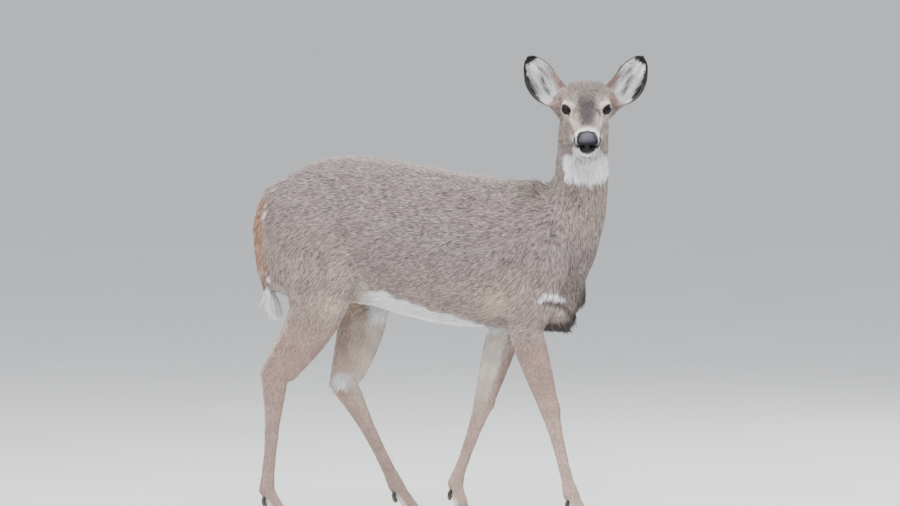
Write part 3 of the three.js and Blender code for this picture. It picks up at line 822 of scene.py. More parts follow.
def neckMarkings(points, normals):
    inHead = toHead(points)
    facing = soft((normals @ headSpin)[:, 0], -0.15, 0.25)
    side = np.abs(inHead[:, 1] - 0.002)
    z = points[:, 2] + 0.003 * ripple(points, 0.02, 5)
    lower = 0.870 + 0.034 * soft(side, 0.040, 0.060)
    upper = 0.985 - 0.045 * soft(side, 0.016, 0.040)
    throat = facing * soft(z - lower, -0.003, 0.005) * soft(upper - z, -0.006, 0.006)
    throat = throat * fade(side, 0.052, 0.060)
    warm = soft(points[:, 2], 0.70, 0.77) * soft(normals[:, 0] - 0.3 * normals[:, 1], -0.2, 0.5)
    streaks = soft(ripple(points * (3, 3, 1), 0.03, 14), 0.4, 1.2) * fade(side, 0.01, 0.04)
    return blend(
        bodyMarkings(points, normals),
        ("inner", 0.30 * warm * (1 - throat)),
        ("white", throat),
        # the chin's painted shadow on the white throat
        ("bridge", 0.55 * throat * chinShade(inHead)),
        ("bridge", 0.12 * throat * streaks),
    )


# lines on the left half of the face
facePaths = {
    "stripe": ((0.125, 0.040, 0.010), (0.155, 0.036, 0.006), (0.190, 0.031, 0.002)),
    "brow": ((0.118, 0.036, 0.050), (0.095, 0.046, 0.056), (0.075, 0.052, 0.056)),
    "bridge": ((0.120, 0.019, 0.04), (0.155, 0.0175, 0.03), (0.190, 0.016, 0.02)),
    "lip": ((0.240, 0.0330, -0.008), (0.240, 0.0340, -0.020), (0.238, 0.0320, -0.034),
            (0.236, 0.0270, -0.043), (0.238, 0.0190, -0.046)),
    "tear": ((0.1285, 0.0445, 0.016), (0.1335, 0.0430, 0.0115)),
}


def headMarkings(points, normals):
    inHead = toHead(points)
    x, y, z = inHead.T
    side = np.abs(y)
    folded = mirrorHead(inHead)
    ahead, _, upward = (normals @ headSpin).T
    uneven = ripple(points, 0.012, 6)
    fromEye = (folded - eyeSize["at"]) * (1, 1, 0.9)
    fromEye[:, 2] *= np.where(fromEye[:, 2] > 0, 1.55, 1)
    eyeAway = np.linalg.norm(fromEye, axis=1) + 0.0012 * uneven
    onTop = soft(ahead * 0.35 + upward, 0.15, 0.6)
    wide = side + 0.0016 * uneven + 0.006 * soft(x, 0.14, 0.20)
    bridge = fade(wide, 0.014, 0.031) * soft(x, 0.078, 0.138) * fade(x, 0.203, 0.231) * onTop
    lip = soft(x, 0.195, 0.225) * soft(-z + 0.001 * uneven, 0.018, 0.024)
    under = fade(z, -0.044, -0.034) * soft(x, 0.10, 0.17)
    under = under + fade(upward, -0.8, -0.45) * fade(z, -0.040, -0.028)
    mouth = onPath(folded, faceLines["mouth"][0], 0.0012, 0.0036)
    colours = blend(
        plain("face", points),
        ("crown", 0.8 * soft(z, 0.020, 0.050) * fade(x, 0.085, 0.125)),
        ("nape", 0.35 * soft(side, 0.045, 0.058) * fade(x, 0.03, 0.08)),
        # pale round the eye and in a stripe down from it
        ("ring", 0.95 * fade(eyeAway, 0.023, 0.032)),
        ("ring", 0.85 * onPath(folded, facePaths["stripe"], 0.006, 0.018)),
        # the dark bridge, forehead and brow, with a darker line down each side
        ("bridge", 0.95 * bridge),
        ("bridge", 0.24 * fade(side, 0.010, 0.050) * soft(x, -0.05, 0.02) * fade(x, 0.10, 0.14)),
        ("bridge", 0.45 * onPath(folded, facePaths["brow"], 0.001, 0.007)),
        ("black", 0.40 * onPath(folded, facePaths["bridge"], 0.002, 0.011) * onTop),
        ("rust", 0.35 * bump(folded, (0.070, 0.056, 0.038), (0.045, 0.024, 0.024))),
        # white behind the nose, on the lips and the chin, with dark marks beside the nostril
        ("white", 0.65 * soft(x + 0.0020 * uneven, 0.215, 0.234) * soft(z, -0.002, 0.010)),
        ("white", np.maximum(lip, under)),
        # painted shade on the faces turned down under the jaw, and the chin's painted shadow
        ("bridge", 0.60 * fade(upward, -0.95, -0.70) * soft(x, 0.06, 0.12)),
        ("bridge", 0.75 * chinShade(inHead) * fade(z, -0.045, -0.035)),
        ("bridge", 1.5 * bump(folded, (0.243, 0.0330, -0.006), (0.022, 0.010, 0.018))),
        ("bridge", 0.9 * onPath(folded, facePaths["lip"], 0.0018, 0.0048)),
        ("white", 2.2 * bump(folded, (0.246, 0.0260, -0.031), (0.022, 0.0085, 0.0120))),
        ("black", 1.4 * bump(folded, (0.250, 0.0225, -0.0135), (0.020, 0.0090, 0.0110))),
        ("black", mouth * (0.4 + 0.5 * soft(x, 0.19, 0.23))),
        ("black", soft(noseMask(inHead), -0.0015, 0.0004)),
        ("rust", 0.30 * bump(folded, (0.030, 0.060, 0.022), (0.04, 0.03, 0.04))),
        ("black", 0.9 * onPath(folded, facePaths["tear"], 0.0012, 0.0036)),
    )
    return mixed(colours, bodyMarkings(points, normals), fade(x, -0.005, 0.035))


def earMarkings(points, places):  # share of the length, across from the inner to the outer edge, inside
    share, across, inside = places.T
    away = np.abs(across)
    strands = np.stack([share * 0.022, across * 0.075, share * 0], -1)
    edge = 0.95 * soft(share, 0.62, 0.9) + 0.95 * soft(away, 0.66, 0.9) * soft(share, 0.12, 0.3)
    outer = blend(plain("earBack", points), ("crown", 0.5 * soft(share, 0.3, 0.8)), ("black", edge))
    # two dark lines inside the ear: painted shade along its folds
    fold = np.exp(-(((across - 0.1 + 0.35 * (share - 0.4)) / 0.09) ** 2))
    fold = fold * soft(share, 0.1, 0.25) * fade(share, 0.5, 0.72)
    inFold = np.exp(-(((across + 0.28 - 0.5 * (share - 0.55)) / 0.10) ** 2))
    fold = fold + 0.7 * inFold * soft(share, 0.4, 0.5) * fade(share, 0.65, 0.8)
    # painted shade on the upper part of her right ear, broken into streaks
    rightEarShade = (toHead(points)[:, 1] < 0) * soft(share, 0.20, 0.45)
    ragged = 0.05 * ripple(points, 0.008, 8)
    rim = soft(across + ragged - 0.15 * fade(share, 0.2, 0.45), 0.45, 0.58) * soft(share, 0.08, 0.22)
    rim = np.where(across > 0, rim, soft(-across + ragged, 0.84, 0.94) * soft(share, 0.42, 0.55))
    rim = np.maximum(rim, soft(share - 0.01 * across + 0.2 * ragged, 0.870, 0.905))
    inner = blend(
        plain("earDown", points),
        ("white", 0.55 + 0.4 * ripple(strands, 0.02, 3) + 0.25 * ripple(points, 0.010, 4)),
        # painted shade in the folds
        ("bridge", 0.9 * fold),
        ("earBack", 0.75 * rightEarShade * soft(0.5 + ripple(strands, 0.03, 13), -0.2, 1.0)),
        ("leg", soft(-across + 0.5 * (0.3 - share), 0.30, 0.46) * fade(share, 0.44, 0.60)),
        ("ring", 0.6 * fade(share, 0.04, 0.26)),
        ("leg", fade(share, 0.02, 0.09)),
        ("black", rim),
    )
    return mixed(outer, inner, inside)


# where the tail's brown back meets its white front: the doe's own z and x
tailEdge = (
    (0.52, -0.396), (0.59, -0.386), (0.64, -0.378), (0.665, -0.370), (0.685, -0.345),
    (0.735, -0.345), (0.752, -0.384), (0.785, -0.388), (0.81, -0.380), (0.83, -0.360),
)


def tailMarkings(points, normals):
    x, y, z = (points - midline).T
    waver = ripple(points, 0.02, 9)
    front = soft(x - np.interp(z, *np.array(tailEdge).T) - 0.002 * waver, -0.003, 0.004)
    edge = 0.5 * soft(np.abs(y), 0.040, 0.050) * fade(z, 0.63, 0.66)
    tip = fade(z - 0.006 * waver, 0.578, 0.600)
    return blend(
        plain("rust", points),
        ("thigh", 0.25),
        ("nape", 0.3 * fade(z, 0.6, 0.72) * fade(normals[:, 0], -0.8, -0.3)),
        ("white", np.maximum(np.maximum(edge, front), tip)),
    )


painters = {
    "leg": legMarkings, "neck": neckMarkings, "head": headMarkings, "nose": headMarkings,
    "eye": headMarkings, "tail": tailMarkings,
}


def paintSkin():
    colours = bodyMarkings(skinPoints, skinNormals)
    for word, paint in painters.items():
        chosen = ownedBy(word)
        colours[chosen] = paint(skinPoints[chosen], skinNormals[chosen])
    onEar = skinKind == 1
    colours[onEar] = earMarkings(skinPoints[onEar], earPlace[onEar])
    upperLid = 5 * soft(toHead(skinPoints)[:, 2], 0.026, 0.034)
    return blend(colours, ("black", (skinKind == 2) * fade(lidPlace - upperLid, 5, 9)))


def hairFlow():  # which way the coat lies, along the skin
    own = skinPoints - midline
    x, _, z = own.T
    flow = np.tile((-1.0, 0, -0.12), (len(own), 1))
    turns = (
        ((-0.9, 0, -0.45), fade(z, 0.64, 0.78)),
        ((-0.35, 0, -1), 0.9 * bump(own * (1, 0, 1), (0.30, 0, 0.66), (0.14, 1, 0.20))),
        ((-0.45, 0, -1), 0.95 * fade(x, -0.26, -0.12) * fade(z, 0.66, 0.84)),
        ((-0.7, 0, -0.7), 0.8 * fade(x, -0.38, -0.30) * soft(z, 0.78, 0.86)),
        ((-1, 0, -0.1), fade(z, 0.52, 0.56) * soft(x, -0.16, -0.08) * fade(x, 0.2, 0.26)),
        ((0.1, 0, -1), soft(x, 0.33, 0.38) * fade(z, 0.80, 0.86)),
        ((0.55, 0, -0.8), bump(own, (0.40, 0, 0.52), (0.07, 0.1, 0.08))),
    )
    for direction, share in turns:
        flow = mixed(flow, unit(np.array(direction, float)), share)
    flow[ownedBy("neck")] = unit(np.array((-0.22, 0.10, -0.97)))
    for name, (top, middle, low) in legLines.items():
        top, middle, low = (np.array(p) for p in (top, middle, low))
        flow[ownedBy(name + "_forearm", name + "_gaskin")] = unit(middle - top)
        flow[ownedBy(name + "_cannon")] = unit(low - middle)
        ahead = 0.0 if name == "front_leg_left" else 0.45
        flow[ownedBy(name + "_foot")] = unit(np.array((ahead, 0, -0.9)))
    onHead = ownedBy("head", "nose", "eye")
    inHead = toHead(skinPoints[onHead])
    folded = mirrorHead(inHead)
    run = np.tile((-1.0, 0, 0), (len(inHead), 1))
    run[:, 2] -= 0.45 * soft(folded[:, 1], 0.030, 0.05) * fade(inHead[:, 2], -0.03, 0.01)
    run[:, 2] += 0.25 * soft(inHead[:, 0], 0.09, 0.14) * soft(inHead[:, 2], 0.0, 0.03)
    fan = bump(folded, (0.06, 0.0, 0.07), (0.08, 0.08, 0.05))
    run[:, 1] += 0.5 * fan * np.sign(inHead[:, 1]) * soft(folded[:, 1], 0, 0.02)
    flow[onHead] = run @ headSpin.T
    flow[ownedBy("tail")] = (0.08, 0, -1)
    flow[skinKind == 1] = 0
    for _ in range(26):
        mean = neighbourMean(flow, skinEdges)
        flow = np.where((skinKind == 0)[:, None], 0.3 * flow + 0.7 * mean, flow)
    inHead = toHead(skinPoints)
    for side in (1, -1):
        _, along, _, wide = earAxes(side)
        chosen = (skinKind == 1) & (inHead[:, 1] * side > 0)
        _, across, inside = earPlace[chosen].T[..., None]
        lean = -wide * 0.55 * np.sign(across) * np.abs(across) * (inside - 0.5)
        flow[chosen] = (along + lean) @ headSpin.T
        eye, gaze, _, _ = eyeAxes(side)
        onLid = (skinKind == 2) & (inHead[:, 1] * side > 0)
        outward = unit(skinPoints[onLid] - fromHead(eye))
        backward = headSpin @ np.array((-1.0, 0, 0))
        flow[onLid] = 0.6 * unit(outward - headSpin @ gaze) + backward
        # round the eye the hair parts and points away from it
        away = inHead - eye
        near = np.nonzero((skinKind == 0) & (np.linalg.norm(away, axis=1) < 0.045))[0]
        outside, _ = openingDistance(inHead[near], side)
        away = away[near]
        away = unit(away - (away @ gaze)[:, None] * gaze) @ headSpin.T
        share = fade(outside, 8, 48)[:, None]
        flow[near] = flow[near] * (1 - 0.5 * share) + away * share
    flow = flow - skinNormals * (flow * skinNormals).sum(1)[:, None]
    return unit(flow)


skinColours = paintSkin()
skinFlow = hairFlow()
print("markings and lie of the coat set")


def addNode(nodes, kind, values=None):  # a node with plain values on its sockets
    made = nodes.new("ShaderNode" + kind)
    for socket, value in (values or {}).items():
        made.inputs[socket].default_value = value
    return made


def newMaterial(name, roughness, shine=0.5):
    made = bpy.data.materials.new(name)
    made.use_nodes = True
    shader = made.node_tree.nodes["Principled BSDF"]
    shader.inputs["Roughness"].default_value = roughness
    shader.inputs["Specular IOR Level"].default_value = shine
    return made, made.node_tree.nodes, made.node_tree.links, shader


def addNoise(nodes, links, scale, detail, stretch=(1, 1, 1)):
    place = addNode(nodes, "TexCoord")
    mapping = addNode(nodes, "Mapping", {"Scale": stretch})
    noise = addNode(nodes, "TexNoise", {"Scale": scale, "Detail": detail})
    links.new(place.outputs["Object"], mapping.inputs["Vector"])
    links.new(mapping.outputs["Vector"], noise.inputs["Vector"])
    return noise.outputs["Fac"]


def paintTimes(nodes, links, factor, low, high):  # the painted tone, made darker and lighter by a pattern
    paint = addNode(nodes, "Attribute")
    paint.attribute_name = "paint"
    spread = addNode(nodes, "MapRange", {"From Min": 0.3, "From Max": 0.7, "To Min": low, "To Max": high})
    scaled = addNode(nodes, "VectorMath")
    scaled.operation = "SCALE"
    links.new(factor, spread.inputs["Value"])
    links.new(paint.outputs["Color"], scaled.inputs["Vector"])
    links.new(spread.outputs["Result"], scaled.inputs["Scale"])
    return scaled.outputs["Vector"]


# how rough and shiny, the pattern's scale and detail, how dark and light it makes the tone,
# the strength and height of its bumps, and the scale of pebbles in their place
finishes = {
    "skin": {"rough": 0.8, "pattern": (320, 4.0), "spread": (0.52, 1.02), "bumps": (0.5, 0.0012)},
    "coat": {"rough": 0.58, "pattern": (900, 2.0), "spread": (0.85, 1.15)},
    "nose": {"rough": 0.34, "shine": 0.24, "pattern": (700, 1.0), "spread": (0.7, 1.2),
             "bumps": (0.55, 0.0005), "pebbles": 900},
    "eye": {"rough": 0.04, "shine": 0.22, "pattern": (500, 3.0), "spread": (0.6, 1.3)},
    "horn": {"rough": 0.42, "pattern": (60, 4.0, (1, 1, 12)), "spread": (0.65, 1.45),
             "bumps": (0.35, 0.0006)},
}


def makeFinish(name, rough, pattern, spread, shine=0.5, bumps=None, pebbles=None):
    made, nodes, links, shader = newMaterial(name, rough, shine)
    grain = addNoise(nodes, links, *pattern)
    links.new(paintTimes(nodes, links, grain, *spread), shader.inputs["Base Color"])
    if pebbles:
        cells = addNode(nodes, "TexVoronoi", {"Scale": pebbles})
        links.new(nodes["Texture Coordinate"].outputs["Object"], cells.inputs["Vector"])
        grain = cells.outputs["Distance"]
    if bumps:
        raised = addNode(nodes, "Bump", {"Strength": bumps[0], "Distance": bumps[1]})
        links.new(grain, raised.inputs["Height"])
        links.new(raised.outputs["Normal"], shader.inputs["Normal"])
    return made


finishes = {name: makeFinish(name, **how) for name, how in finishes.items()}


skinMesh = makeMesh("skin", skinPoints, skinTriangles)
setPaint(skinMesh, skinColours)
addObject("skin", skinMesh, finishes["skin"], [n for n in fleshNodes if n != "nose"])


def cutOut(chosen, lift):  # the skin's own faces at some points, lifted and given a back
    faces = skinTriangles[chosen[skinTriangles].all(1)]
    used, faces = np.unique(faces, return_inverse=True)
    faces = faces.reshape(-1, 3)
    lift = lift[used][:, None]
    front, back = skinPoints[used] + skinNormals[used] * lift, skinPoints[used] - skinNormals[used] * 0.001
    sides = np.concatenate([faces[:, (0, 1)], faces[:, (1, 2)], faces[:, (2, 0)]])
    ordered = np.sort(sides, axis=1)
    _, first, count = np.unique(ordered, axis=0, return_index=True, return_counts=True)
    rim = sides[first[count == 1]]
    shift = len(used)
    start, end = rim.T
    band = np.concatenate([np.c_[end, start, start + shift], np.c_[end, start + shift, end + shift]])
    return np.concatenate([front, back]), np.concatenate([faces, faces[:, ::-1] + shift, band])


bareness = noseMask(toHead(skinPoints))
onNose = (bareness > -0.0004) & (skinKind == 0)
nosePoints, noseTriangles = cutOut(onNose, 0.0001 + 0.0007 * soft(bareness, 0.0, 0.004))
noseMesh = makeMesh("nosePad", nosePoints, noseTriangles)
# the pad black, its top painted lighter and bluish as a painted highlight from the light above
noseBlackAndSheen = {"edge": linear("040405"), "top": linear("35343f")}
noseInHead = toHead(nosePoints)
onTop = (soft(noseInHead[:, 2], -0.003, 0.008) * soft(noseMask(noseInHead), 0.001, 0.009))[:, None]
setPaint(noseMesh, noseBlackAndSheen["edge"] + (noseBlackAndSheen["top"] - noseBlackAndSheen["edge"]) * onTop)
addObject("nosePad", noseMesh, finishes["nose"], ["nose"])

eyeBall = {
    "rings": 40, "around": 64, "bulge": 0.0009,
    "cornea": 46, "pupil": (15, 8), "iris": 38,  # in degrees from the middle
    "tones": (linear("070404"), linear("120a06"), linear("050404")),  # rim, iris and pupil
}


def eyeballMesh(name, side):  # rings of points round the gaze, with the cornea standing a little proud
    centre, ahead, front, above = eyeAxes(side)
    turn = np.linspace(0, math.pi, eyeBall["rings"] + 1)[1:-1]
    around = np.linspace(0, 2 * math.pi, eyeBall["around"], endpoint=False)
    t, a = np.meshgrid(turn, around, indexing="ij")
    degrees = np.degrees(t)[..., None] * np.stack([np.cos(a), np.sin(a)], -1)
    ray = eyeDirection(degrees, ahead, front, above).reshape(-1, 3)
    ray = np.concatenate([ray, ahead[None], -ahead[None]])
    flat = np.concatenate([degrees.reshape(-1, 2), [[0, 0], [180, 0]]])
    out = np.linalg.norm(flat, axis=1)
    bulge = eyeBall["bulge"] * fade(out, 20, eyeBall["cornea"])
    points = centre + ray * (eyeSize["radius"] + bulge)[:, None]
    grid = np.arange(t.size).reshape(t.shape)
    first, last = grid[0], grid[-1]
    triangles = np.concatenate([
        gridFaces(grid[:-1], grid[1:], np.roll(grid[:-1], -1, 1), np.roll(grid[1:], -1, 1)),
        np.stack([np.full(len(first), t.size), first, np.roll(first, -1)], -1),
        np.stack([np.full(len(last), t.size + 1), np.roll(last, -1), last], -1),
    ])
    rimTone, irisTone, pupilTone = eyeBall["tones"]
    iris = fade(out, eyeBall["iris"] - 6, eyeBall["iris"])[:, None]
    tone = rimTone * (1 - iris) + irisTone * iris
    pupil = fade(np.linalg.norm(flat / eyeBall["pupil"], axis=1), 0.85, 1.25)[:, None]
    tone = tone * (1 - pupil) + pupilTone * pupil
    mesh = makeMesh(name, fromHead(points), facingOut(points, triangles, centre))
    setPaint(mesh, tone)
    return mesh


for side, word in ((1, "left"), (-1, "right")):
    label = "eyeBall" + word.title()
    addObject(label, eyeballMesh(label, side), finishes["eye"], ["eye_" + word])


def roundedHorn(helper):
    modifier = helper.modifiers.new("remesh", "REMESH")
    modifier.mode = "VOXEL"
    modifier.voxel_size = 0.0011


hornTones = {"top": linear("2b2621"), "sole": linear("6b5c49")}
for name in [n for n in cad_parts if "hoof" in n or "dewclaw" in n]:
    hornMesh = evaluated(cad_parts[name].data, roundedHorn)
    hornPoints, hornTriangles = readMesh(hornMesh)
    low = hornPoints[:, 2].min()
    held = soft(hornPoints[:, 2:3], low + 0.0004, low + 0.0030)
    hornPoints = relax(hornPoints, edgesOf(hornTriangles), 8, (0.5,), held)
    hornNormals = vertexNormals(hornPoints, hornTriangles)
    growth = np.sin(hornPoints[:, 2:3] * 2100 + ripple(hornPoints, 0.02, 4)[:, None] * 1.4)
    hornPoints = hornPoints + hornNormals * held * (growth * 0.00018 - 0.0003)
    hornMesh = makeMesh(name.replace("_", " ").title().replace(" ", ""), hornPoints, hornTriangles)
    worn = 0.6 * soft(hornPoints[:, 2:3], low + 0.020, low + 0.002)
    setPaint(hornMesh, hornTones["top"] + (hornTones["sole"] - hornTones["top"]) * worn)
    addObject(hornMesh.name, hornMesh, finishes["horn"], [name])
print("skin, nose, eyes and hooves placed")


# length and width of a tuft, tufts to a square centimetre, and height of its tip above the skin
coatRows = {
    "trunk": (0.0132, 0.0018, 20, 0.0028),
    "neck": (0.0140, 0.0018, 21, 0.0030),
    "tail": (0.0190, 0.0024, 24, 0.0030),
    "thigh": (0.0115, 0.0018, 21, 0.0020),
    "shin": (0.0078, 0.0015, 27, 0.0011),
    "foot": (0.0060, 0.0012, 32, 0.0010),
    "head": (0.0068, 0.0013, 55, 0.0015),
    "muzzle": (0.0036, 0.0009, 85, 0.0008),
    "ear": (0.0070, 0.0012, 45, 0.0010),
}
coatShare = 1.0
patch = 0.0015  # half the width of a tuft's place on the unwrap


def hairSizes():
    own = skinPoints - midline
    inHead = toHead(skinPoints)
    onLeg = ownedBy("leg").astype(float)
    onHead = ownedBy("head", "nose", "eye")
    sizes = np.tile(coatRows["trunk"], (len(skinPoints), 1))
    rows = (
        ("neck", ownedBy("neck")),
        ("tail", ownedBy("tail")),
        ("thigh", onLeg),
        ("shin", onLeg * fade(own[:, 2], 0.30, 0.42)),
        ("foot", onLeg * fade(own[:, 2], 0.08, 0.14)),
        ("head", onHead),
    )
    for row, share in rows:
        sizes = mixed(sizes, np.array(coatRows[row]), share)
    for _ in range(16):
        sizes = np.where((skinKind == 0)[:, None], neighbourMean(sizes, skinEdges), sizes)
    nearEye = np.minimum(*[np.linalg.norm(inHead - eyeAxes(side)[0], axis=1) for side in (1, -1)])
    rows = (
        ("muzzle", onHead * soft(inHead[:, 0], 0.15, 0.22)),
        ("muzzle", onHead * 0.9 * fade(nearEye, 0.022, 0.032)),
        ("ear", skinKind == 1),
        ("muzzle", skinKind == 2),
    )
    for row, share in rows:
        sizes = mixed(sizes, np.array(coatRows[row]), share)
    bare = np.maximum(soft(noseMask(inHead), -0.0010, 0.0002) * onHead, (lidPlace < 5) & (skinKind == 2))
    buried = (skinKind == 1) & (earPlace[:, 0] < -0.03)
    sizes[:, 2] *= (1 - bare) * ~buried * coatShare * 1e4
    return sizes


def placesOn(density, pick):  # faces of the skin and shares of their corners, so many to a square metre
    corner = skinPoints[skinTriangles]
    area = np.linalg.norm(np.cross(corner[:, 1] - corner[:, 0], corner[:, 2] - corner[:, 0]), axis=1) / 2
    count = np.floor(area * density[skinTriangles].min(1) + pick.random(len(area))).astype(int)
    face = np.repeat(np.arange(len(area)), count)
    share = pick.random((len(face), 2))
    over = share.sum(1) > 1
    share[over] = 1 - share[over]
    return face, np.c_[1 - share.sum(1), share]


def valuesAt(values, face, share):
    return (values[skinTriangles[face]] * share[..., None]).sum(1)


def unwrapSkin(points, normals):  # the skin laid out in six flat charts by the way it faces
    chart = np.abs(normals).argmax(1)
    facing = normals[np.arange(len(normals)), chart] > 0
    low, high = points.min(0), points.max(0)
    inBox = (points - low) / (high - low).max()
    flat = np.stack([inBox[np.arange(len(points)), (chart + k) % 3] for k in (1, 2)], -1)
    cell = np.stack([chart, facing], -1)
    return (cell + 0.02 + 0.96 * flat) / (3, 2.4)


def hairSolid(roots, normals, lie, size, segments=1, droop=0.0, sway=0.0, taper=0.7):
    length, width, _, rise = size.T[..., None]
    across = unit(np.cross(lie, normals))
    rows = []
    for step in range(segments + 1):
        t = step / segments
        middle = roots + lie * length * t + normals * (rise * (1 - (1 - t) ** 2) - 0.0004 * (1 - t))
        middle = middle + across * (sway * length * t * t) - np.array((0, 0, 1)) * (droop * length * t * t)
        half = width / 2 * (1 - t) ** taper
        if step < segments:
            rows += [middle - across * half, middle + across * half, middle + normals * half * 0.8]
        else:
            rows.append(middle)
    tall = len(rows)
    points = np.stack(rows, 1).reshape(-1, 3)
    faces = [(0, 1, 2)]
    for step in range(segments):
        a = step * 3
        for j, k in ((0, 1), (1, 2), (2, 0)):
            if step < segments - 1:
                faces += [(a + j, a + 3 + k, a + k), (a + j, a + 3 + j, a + 3 + k)]
            else:
                faces.append((a + j, tall - 1, a + k))
    faces = np.array(faces)
    triangles = (np.arange(len(roots))[:, None, None] * tall + faces[None]).reshape(-1, 3)
    t = np.append(np.repeat(np.arange(segments), 3), segments) / segments
    corner = np.append(np.tile((0, 1, 2), segments), 3)
    aside = np.array((-1, 1, 0, 0))[corner] * (1 - 0.5 * t)
    spot = np.stack([aside, -0.7 + 1.7 * t - 0.3 * (corner == 2)], -1)
    return points, triangles, t, spot * patch


class Coat:  # gathers hair and turns it into one object
    def __init__(self, name):
        self.name = name
        self.parts = []
        self.start = 0

    def grow(self, roots, normals, lie, tones, spots, size, rootShade=0.68, **form):
        points, triangles, t, spread = hairSolid(roots, normals, lie, size, **form)
        tall = len(t)
        shade = (rootShade + (1 - rootShade) * t)[None, :, None]
        colours = (tones[:, None] * shade).reshape(-1, 3)
        spots = np.clip(spots, 0.003, 0.997)
        places = (spots[:, None] + spread[None]).reshape(-1, 2)
        self.parts.append((points, triangles + self.start, colours, places))
        self.start += len(roots) * tall

    def place(self, slot):
        points, triangles, colours, places = (np.concatenate(k) for k in zip(*self.parts))
        mesh = makeMesh(self.name, points, triangles, smooth=False)
        setPaint(mesh, colours)
        layer = mesh.uv_layers.new(name="OFBake")
        layer.data.foreach_set("uv", places[triangles.ravel()].astype(np.float32).ravel())
        addObject(self.name, mesh, finishes["coat"])
        return len(triangles)


def hairTones(tones, roots, pick, grain=1.0):  # uneven tones: dark tips and pale ones among the rest
    light = tones @ (0.2, 0.7, 0.1)
    pepper = grain * (1 - 0.75 * soft(light, 0.30, 0.60)) * (0.30 + 0.70 * soft(roots[:, 2], 0.42, 0.60))
    clump = 0.03 * ripple(roots, 0.020, 21) + 0.07 * ripple(roots, 0.0085, 23)
    clump = clump + 0.26 * ripple(roots, 0.0045, 24)
    clump = 1 + clump * pepper + 0.04 * ripple(roots, 0.06, 22)
    shade = 1 + 0.18 * pick.normal(size=len(roots)) * pepper
    draw = pick.random(len(roots))
    shade = np.where(draw < 0.26 * pepper, 0.40, shade)
    shade = np.where(draw > 1 - 0.20 * pepper, 1.6, shade)
    return tones * np.clip(shade * clump, 0.25, 1.8)[:, None]


def combed(lie, normals, roots, pick, loose=6.0):  # turns the lie of the tufts a little, in locks and singly
    turn = np.radians(6.6 * ripple(roots, 0.03, 31) + loose * pick.normal(size=len(roots)))[:, None]
    return unit(lie * np.cos(turn) + np.cross(normals, lie) * np.sin(turn))


def pieceOfSkin():  # which piece of the coat each face of the skin carries
    own = skinPoints - midline
    right, fore = own[:, 1] < 0, own[:, 0] > 0.02
    names = np.where(fore, "coatFore", "coatRump").astype("U24")
    names = np.char.add(names, np.where(right, "Right", "Left"))
    names[ownedBy("neck")] = "coatNeck"
    names[ownedBy("tail")] = "coatTail"
    for leg in legLines:
        end, _, side = leg.split("_")
        names[ownedBy(leg)] = "coat" + end.title() + "Leg" + side.title()
    headRight = toHead(skinPoints)[:, 1] < 0
    onHead = ownedBy("head", "nose", "eye")
    names[onHead] = np.where(headRight[onHead], "coatHeadRight", "coatHeadLeft")
    onEar = skinKind == 1
    names[onEar] = np.where(headRight[onEar], "coatEarRight", "coatEarLeft")
    return names[skinTriangles[:, 0]]


hairPainters = {
    "Leg": legMarkings, "Neck": neckMarkings, "Head": headMarkings, "Tail": tailMarkings,
    "Fore": bodyMarkings, "Rump": bodyMarkings,
}
pick = np.random.default_rng(7)
hairSize = hairSizes()
pieceNames = pieceOfSkin()
face, share = placesOn(hairSize[:, 2], pick)
facePiece = pieceNames[face]
coats = {}
for name in sorted(set(pieceNames)):
    chosen = facePiece == name
    where = face[chosen], share[chosen]
    roots, normals, lie = (valuesAt(v, *where) for v in (skinPoints, skinNormals, skinFlow))
    normals, lie = unit(normals), unit(lie)
    size = valuesAt(hairSize, *where)
    size[:, 0] *= pick.uniform(0.75, 1.2, len(size))
    size[:, 1] *= pick.uniform(0.75, 1.25, len(size))
    size[:, 3] *= pick.uniform(0.55, 1.35, len(size))
    if "Ear" in name:
        hairs = earMarkings(roots, valuesAt(earPlace, *where))
    else:
        paint = [p for word, p in hairPainters.items() if word in name][0]
        hairs = paint(roots, normals)
    hairs = hairTones(hairs, roots, pick)
    lie = combed(lie, normals, roots, pick)
    coats[name] = Coat(name)
    coats[name].grow(roots, normals, lie, hairs, unwrapSkin(roots, normals), size)
print("coat grown:", len(face), "tufts in", len(coats), "pieces")


# long locks where the coat breaks the outline: how many to a square centimetre, length, width, rise, segments
lockSizes = {
    "tailFringe": (26, 0.050, 0.0026, 0.010, 4),
    "tailTip": (26, 0.026, 0.0024, 0.005, 3),
    "earWool": (9, 0.021, 0.0013, 0.006, 3),
    "earRoot": (12, 0.020, 0.0014, 0.006, 3),
    "brisket": (9, 0.026, 0.0022, 0.004, 3),
    "hock": (10, 0.022, 0.0018, 0.007, 3),
    "withers": (11, 0.021, 0.0024, 0.008, 2),
    "belly": (5, 0.026, 0.0022, 0.004, 2),
    "throat": (5, 0.024, 0.0019, 0.005, 3),
    "cheek": (8, 0.015, 0.0014, 0.003, 2),
    "lash": (90, 0.0052, 0.0007, 0.002, 2),
}


